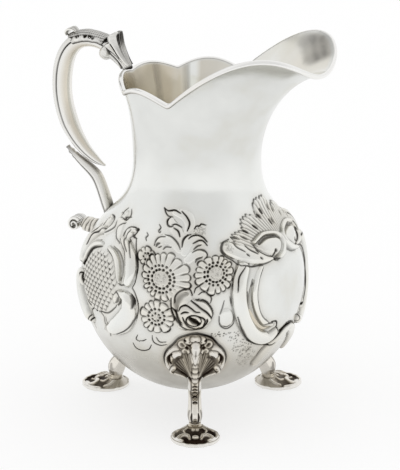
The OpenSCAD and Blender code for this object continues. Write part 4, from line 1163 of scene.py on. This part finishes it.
def knee_point(p, q, h):
    """Points of a knee shell: p across from -1 to 1, q up the belly, h above the belly."""
    g = np.radians(mix(KNEE_LOW, KNEE_CREST, q))
    r, z = BELLY_R * np.cos(g), BELLY_Z - (BELLY_Z - BOTTOM_Z) * np.sin(g)
    n = unit(np.stack([np.cos(g) / BELLY_R, -np.sin(g) / (BELLY_Z - BOTTOM_Z)], -1))
    a = p * along(KNEE_WIDTH, q) / r
    out = r + n[..., 0] * h
    return np.stack([out * np.cos(a), out * np.sin(a), z + n[..., 1] * h], -1)


def knee_relief(x, y, base):
    """Shell knee: ribbed brown fields, framed volutes, a drop and beads in the middle, and a lobed crest."""
    shell = Relief(x, y, base, 0.5 * ease(y, 19, 23))
    pair = shell.folded()
    pair.hollow([(1.8, 7), (4, 9.2), (6.2, 12.6), (6.8, 16.4), (6.2, 19)], [1.2, 2.8, 3.5, 3.3, 2], 1.3, 1.0)
    pair.hollow([(1.8, 12), (2.8, 16), (3.6, 20), (4.2, 23)], [1, 1.8, 2, 1.6], 0.7, 0.9)
    for u in np.linspace(0, 1, 8):
        pair.ridge([(mix(2.4, 1.6, u), mix(7.8, 13, u)), (mix(5.4, 2.2, u), mix(10.2, 17, u)),
                    (mix(8.6, 3, u), mix(14, 22, u))], 0.3, 0.4, 0.35)
    pair.boss((3.9, 22.6), (1.9, 1.5), 0.8, -25)
    pair.hollow([(3.3, 20.6), (4, 22.3)], [0.8, 0.9], 0.5, 0.5)
    pair.ridge([(3.6, 7), (6, 8), (8, 9.2), (9.6, 11), (11, 13.4), (11.9, 16), (12.1, 18.6), (11.5, 21),
                (10, 23), (7.8, 23.8)], [0.35, 0.55, 0.6, 0.6, 0.8, 0.9, 1, 1.3, 1.7, 1.5], 1.1)
    pair.boss((7.5, 20.7), (2.2, 2.4), 1.4, 20)
    pair.hollow([(9.6, 21.2), (10.8, 19.4), (10.8, 17), (9.9, 14.6)], [0.4, 0.75, 0.75, 0.4], 0.8, 1.0)
    pair.boss((9, 11.9), (1.4, 1.7), 1.0, 15)
    pair.boss((5.3, 26), (1.9, 1.9), 1.0, -20)
    pair.hollow([(4.9, 25.4), (5.5, 26.2)], [0.9, 1], 0.7, 0.75)
    pair.boss((2.5, 28), (1.9, 1.8), 0.9)
    for spot, size in [((3.5, 24.2), 0.8), ((2.5, 25.6), 0.6), ((5.4, 18.4), 0.6), ((4.2, 27.8), 0.5)]:
        pair.punch(spot, size, 0.5, 1.0)
    shell.boss((0, 28.9), (2.1, 1.5), 1.0)
    for k in range(-2, 3):
        shell.punch((1.2 * k, 28.2 - 0.2 * k * k), 0.3, 0.3, 0.8)
    shell.boss((0.2, 24.8), (2.2, 3), 1.2)
    shell.ridge([(0.2, 24.4), (0.1, 21.2), (0, 17.6)], [2.1, 1.7, 0.5], 1.0)
    shell.line([(0.2, 24.8), (0.1, 22.6), (0, 20.4)], 0.22, 0.2, 0.5)
    for place, wide, tall in [(16.6, 1.1, 1), (14, 1.35, 1.15), (11.3, 1.4, 1.2), (8.7, 1.4, 1.2)]:
        shell.boss((0, place), (wide, tall), 1.2)
    shell.line([(-1.6, 7.8), (-1, 6.9), (0, 6.6), (1, 6.9), (1.6, 7.8)], 0.4, 0.3, 0.85)
    shank_marks(shell, [4.6, 2.7, 0.8], 1.5, 0, 6.2)
    return shell.height, shell.dark


def shank_marks(face, crescents, apart, low, high):
    """Crescents down the middle of a shank, between two lines that keep apart from it."""
    for rise in crescents:
        face.line([(-0.9, rise - 0.4), (0, rise + 0.35), (0.9, rise - 0.4)], 0.36, 0.35)
    face.folded().line([(apart, low), (0.9 * apart, mix(low, high, 0.5)), (apart, high)], 0.2, 0.3, 0.65)


def build_knee(name, angle):
    q, p = np.meshgrid(np.linspace(0, 1, 150), np.linspace(-1, 1, 141), indexing="ij")
    x = p * along(KNEE_WIDTH, q)
    round_top = np.maximum(0, 1 - p * p) ** mix(0.5, 1.2, q)
    spine = peak(x, 2.6) * bulge(p)
    base = 0.5 + along(KNEE_RISE, q) * mix(round_top, spine, ease(q, 0.1, 0.3) * 0.75)
    height, dark = knee_relief(x, KNEE_TALL * q, base)
    aside = 1 - np.abs(p)
    edge = ease(aside, 0, 0.06) * ease(1 - q, 0, 0.03)
    height = np.maximum(mix(0.5, height, edge), 0.15)
    outer, inner = (turned(knee_point(p, q, SOLDER + h), angle) for h in (height, 0 * height))
    sunk = np.clip(0.3 * (blur(height, 6) - height), 0, 0.5)
    tone = np.maximum(0.8 * (1 - ease(aside, 0, 0.04)), dark + sunk + 0.06)
    tan = np.clip(1.9 * blur(dark, 5), 0, 1)
    add_sheet("knee_" + name, "shell", outer, inner, tone, 1, tan)


def build_shank(name, angle):
    """Shank from the ankle up to the knee: a collar, a swelling with a bright panel, and crescents above."""
    top_slope = np.array([math.sin(math.radians(KNEE_LOW)), math.cos(math.radians(KNEE_LOW))])

    def top(h):
        x, _, z = knee_point(np.array(0.0), np.array(0.0), np.array(h))
        return np.array([x, z]) - top_slope * SOLDER

    steps = 90
    s = np.linspace(0, 1, steps)[:, None]
    front = bezier([[ANKLE_REACH + 2.4, ANKLE_Z], [ANKLE_REACH + 3.2, ANKLE_Z + 3.5], [44.6, 11.5], top(5.6)],
                   steps)
    back = bezier([[ANKLE_REACH - 2.4, ANKLE_Z], [ANKLE_REACH - 3.6, ANKLE_Z + 3], [32, 12], top(SOLDER)],
                  steps)
    half = SHANK_HALF * along([[0, 1.05], [0.06, 0.88], [0.16, 0.86], [0.34, 1.06], [0.48, 1.08],
                               [0.62, 0.98], [0.8, 0.92], [1, 1]], s)
    p = np.sin(np.linspace(-np.pi / 2, np.pi / 2, 61))[None, :]
    face = Relief(p * half, SHANK_TALL * s + 0 * p)
    pair = face.folded()
    pair.hollow([(1.2, 4.2), (1.55, 8), (1.35, 12)], [0.35, 0.6, 0.3], 0.5, 1.0)
    pair.line([(2.5, 5), (2.8, 9), (2.3, 13)], 0.3, 0.2, 0.5)
    shank_marks(face, [18.4, 20.8], 1.6, 12.4, SHANK_TALL)
    face.line([(-2.4, 3.7), (0, 3.3), (2.4, 3.7)], 0.5, 0.4)
    thick = np.linalg.norm(front - back, axis=1)[:, None]
    near = mix(0.5 + 0.5 * bulge(p), 0.07 + 0.93 * bulge(p), s * s) + face.height / thick
    far = mix(0.5 - 0.5 * bulge(p), 0.03 - 0.03 * bulge(p), s * s)[:, -2:0:-1]
    shares = np.concatenate([near, far], 1)
    across = np.concatenate([p, p[:, -2:0:-1]], 1) * half
    reach, rise = (mix(back[:, k, None], front[:, k, None], shares) for k in (0, 1))
    rings = np.stack([reach, across, rise], -1)
    stain = along([[0, 0.5], [0.03, 0.2], [0.15, 0.1], [0.3, 0], [0.85, 0], [1, 0.15]], s)
    tone = np.concatenate([np.maximum(face.dark, stain), stain + 0.2 + 0 * far], 1)
    tan = along([[0, 1], [0.16, 0.9], [0.22, 0.3], [0.6, 0.3], [1, 0.5]], s) + 0 * tone
    add_rings("leg_" + name, "shank", turned(rings, angle), tone, tan)


def foot_relief(x, y, base):
    """Shell foot: bold C-scrolls, beads and dark hollows; x points away from the jug, y sideways."""
    pad = Relief(y, x, base.copy(), mix(0.3, 1.0, ease(x, -6, -2.5)))
    pad.hollow([(-4.4, 5.6), (-2.4, 7.3), (0, 7.9), (2.4, 7.3), (4.4, 5.6)], [0.6, 1.1, 1.4, 1.1, 0.6],
               0.5, 1.0)
    pair = pad.folded()
    pair.hollow([(1.6, 1.6), (2.2, 4.6)], [0.6, 1], 0.4, 1.0)
    pair.hollow([(5.4, -3.4), (6.4, -2), (7.4, 0.2)], [0.7, 1.4, 0.9], 0.6, 1.0)
    pair.ridge([(2.4, 5.4), (2.9, 3), (4.6, 1.8), (6.6, 2.4), (7.2, 4.4), (5.6, 5.8)],
               [0.5, 1, 1.2, 1.3, 1.2, 0.8], 0.8, 1.0)
    pair.ridge([(8.9, -2.6), (9.2, 1), (8.4, 4.2), (5.8, 6.8)], [0.5, 0.8, 0.9, 0.7], 0.7)
    pair.ridge([(3.2, -6.2), (5.4, -5.4), (7.4, -3.4)], 0.45, 0.5)
    pair.ridge([(2.6, -3.4), (4.6, -1.8), (4.4, 0)], [0.4, 0.6, 0.4], 0.6)
    for side in (1, -1):
        pad.boss((side * 0.8, -0.9), (0.85, 0.95), 0.7)
        pad.boss((side * 0.6, -3.2), (0.7, 0.7), 0.5)
    pad.boss((0, 4.2), (1.6, 1.25), 0.9)
    return pad.height, pad.dark


def build_foot(name, angle):
    """Lobed shell foot with a thin bright rim."""
    t, a = np.meshgrid(np.linspace(0, 1, 100), np.linspace(0, 2 * np.pi, 240, endpoint=False), indexing="ij")
    turn = np.abs(np.degrees((a + np.pi) % (2 * np.pi) - np.pi))
    notches = sum(deep * peak(turn - place, 5) for place, deep in FOOT_NOTCHES)
    reach = mix(FOOT_R * (1.02 - notches), 2.75, t)
    x, y = mix(FOOT_REACH, ANKLE_REACH, t) + reach * np.cos(a), reach * np.sin(a)
    base = along([[0, FOOT_EDGE], [0.03, FOOT_EDGE + 0.3], [0.07, FOOT_EDGE + 0.3], [0.14, FOOT_EDGE - 0.1],
                  [0.4, FOOT_EDGE + 0.8], [0.72, FOOT_EDGE + 1.8], [0.93, ANKLE_Z - 0.25],
                  [1, ANKLE_Z - SOLDER]], t)
    height, dark = foot_relief(x - FOOT_REACH, y, base)
    keep = ease(t, 0.06, 0.11) * (1 - ease(t, 0.88, 0.96))
    rows = np.stack([x, y, np.maximum(mix(base, height, keep), 0.7 * FOOT_EDGE)], -1)
    edge = rows[0] * [1, 1, 0]
    low = np.stack([mix(np.array([FOOT_REACH, 0, 0]), edge, 0.97), edge + [0, 0, 0.4]])
    tone = np.concatenate([np.zeros(low.shape[:2]), np.clip(dark * keep, 0, 1)])
    tone[-8:] = 0.5
    add_rings("foot_" + name, "shell", turned(np.concatenate([low, rows]), angle), tone,
              np.clip(1.8 * blur(tone, 4), 0, 1))


# Stage: half-size of the floor in metres, its grey, and what it adds to the rays that look at it
FLOOR_SIZE, FLOOR_GREY, FLOOR_GLOW = 3.0, 0.38, 0.66
# Strength of the light from all round and from the camera's side, and what is left of it in the dark gap
LIGHT_ROUND, LIGHT_FRONT, GAP_SHARE = 0.94, 0.8, 0.5
FRONT = (0.461, -0.832, 0.309)
# Dark gap in the light, high behind the jug: turn and rise of its parts in degrees
GAP_PLACES = [(163, 29), (164, 37), (165, 45)]
VIEW_TURN, VIEW_RISE, VIEW_DISTANCE = -61.2, 18.0, 1300.0
VIEW_TARGET_Z, FOCAL_PIXELS = 80.0, 3073.0
IMAGE_WIDTH, IMAGE_HEIGHT = 400, 470
# Where the target falls in the picture, in pixels
TARGET_PIXEL = (193.0, 224.4)


def build_floor():
    mesh = bpy.data.meshes.new("floor")
    a = FLOOR_SIZE
    mesh.from_pydata([(-a, -a, 0), (a, -a, 0), (a, a, 0), (-a, a, 0)], [], [(0, 1, 2, 3)])
    floor = bpy.data.objects.new("floor", mesh)
    bpy.context.scene.collection.objects.link(floor)
    floor.data.materials.append(floor_material())


def floor_material():
    """Pale floor, which glows for the rays that see it."""
    material = bpy.data.materials.new("floor_white")
    tree = Tree(material)
    rays = tree.nodes.new("ShaderNodeLightPath").outputs
    glow = 0.0
    for ray in ("Is Camera Ray", "Is Glossy Ray", "Is Transmission Ray"):
        glow = tree.math("MULTIPLY_ADD", rays[ray], FLOOR_GLOW, glow)
    tree.fill(tree.nodes["Principled BSDF"], {"Base Color": (FLOOR_GREY, FLOOR_GREY, FLOOR_GREY, 1),
                                              "Roughness": 0.9, "Specular IOR Level": 0.0,
                                              "Emission Color": (1, 1, 1, 1), "Emission Strength": glow})
    return material


def build_world():
    """Soft light from all round, a little less from the camera's side, with a dark gap high behind."""
    world = bpy.data.worlds.new("studio")
    bpy.context.scene.world = world
    tree = Tree(world)
    place = tree.add("TexCoord", {}, "Generated")

    def toward(way, low, high, start, end):
        """A value that goes from start to end as a ray turns towards a direction."""
        aim = tree.add("VectorMath", {0: place, 1: way}, "Value", operation="DOT_PRODUCT")
        return tree.add("MapRange", {"Value": aim, "From Min": low, "From Max": high, "To Min": start,
                                     "To Max": end}, "Result", interpolation_type="SMOOTHSTEP")

    level = toward(FRONT, 0.2, 0.9, LIGHT_ROUND, LIGHT_FRONT)
    for turn, rise in GAP_PLACES:
        level = tree.math("MULTIPLY", level, toward(direction(turn, rise), 0.99, 0.996, 1.0, GAP_SHARE))
    tree.fill(tree.nodes["Background"], {"Strength": level, "Color": (1, 1, 1, 1)})


def build_camera():
    """The camera of the photograph."""
    data = bpy.data.cameras.new("camera")
    camera = bpy.data.objects.new("camera", data)
    bpy.context.scene.collection.objects.link(camera)
    back = Vector(direction(VIEW_TURN, VIEW_RISE))
    target = Vector((AXIS_X, 0, VIEW_TARGET_Z)) * MM
    camera.location = target + back * VIEW_DISTANCE * MM
    camera.rotation_mode = "QUATERNION"
    camera.rotation_quaternion = back.to_track_quat("Z", "Y")
    data.sensor_width = 36.0
    data.lens = FOCAL_PIXELS * data.sensor_width / IMAGE_HEIGHT
    data.shift_x = (IMAGE_WIDTH / 2 - TARGET_PIXEL[0]) / IMAGE_HEIGHT
    data.shift_y = (TARGET_PIXEL[1] - IMAGE_HEIGHT / 2) / IMAGE_HEIGHT
    data.clip_end = 20
    bpy.context.scene.camera = camera


build_body()
build_rim_wire()
build_upper_scroll()
build_stem()
build_thumb_leaf()
build_curl_leaf()
build_leaf_cap()
build_lower_scroll()
build_tail()
for leg_name, leg_angle in LEG_ANGLES.items():
    build_knee(leg_name, leg_angle)
    build_shank(leg_name, leg_angle)
    build_foot(leg_name, leg_angle)
build_floor()
build_world()
build_camera()
bpy.context.scene.view_settings.view_transform = "Standard"
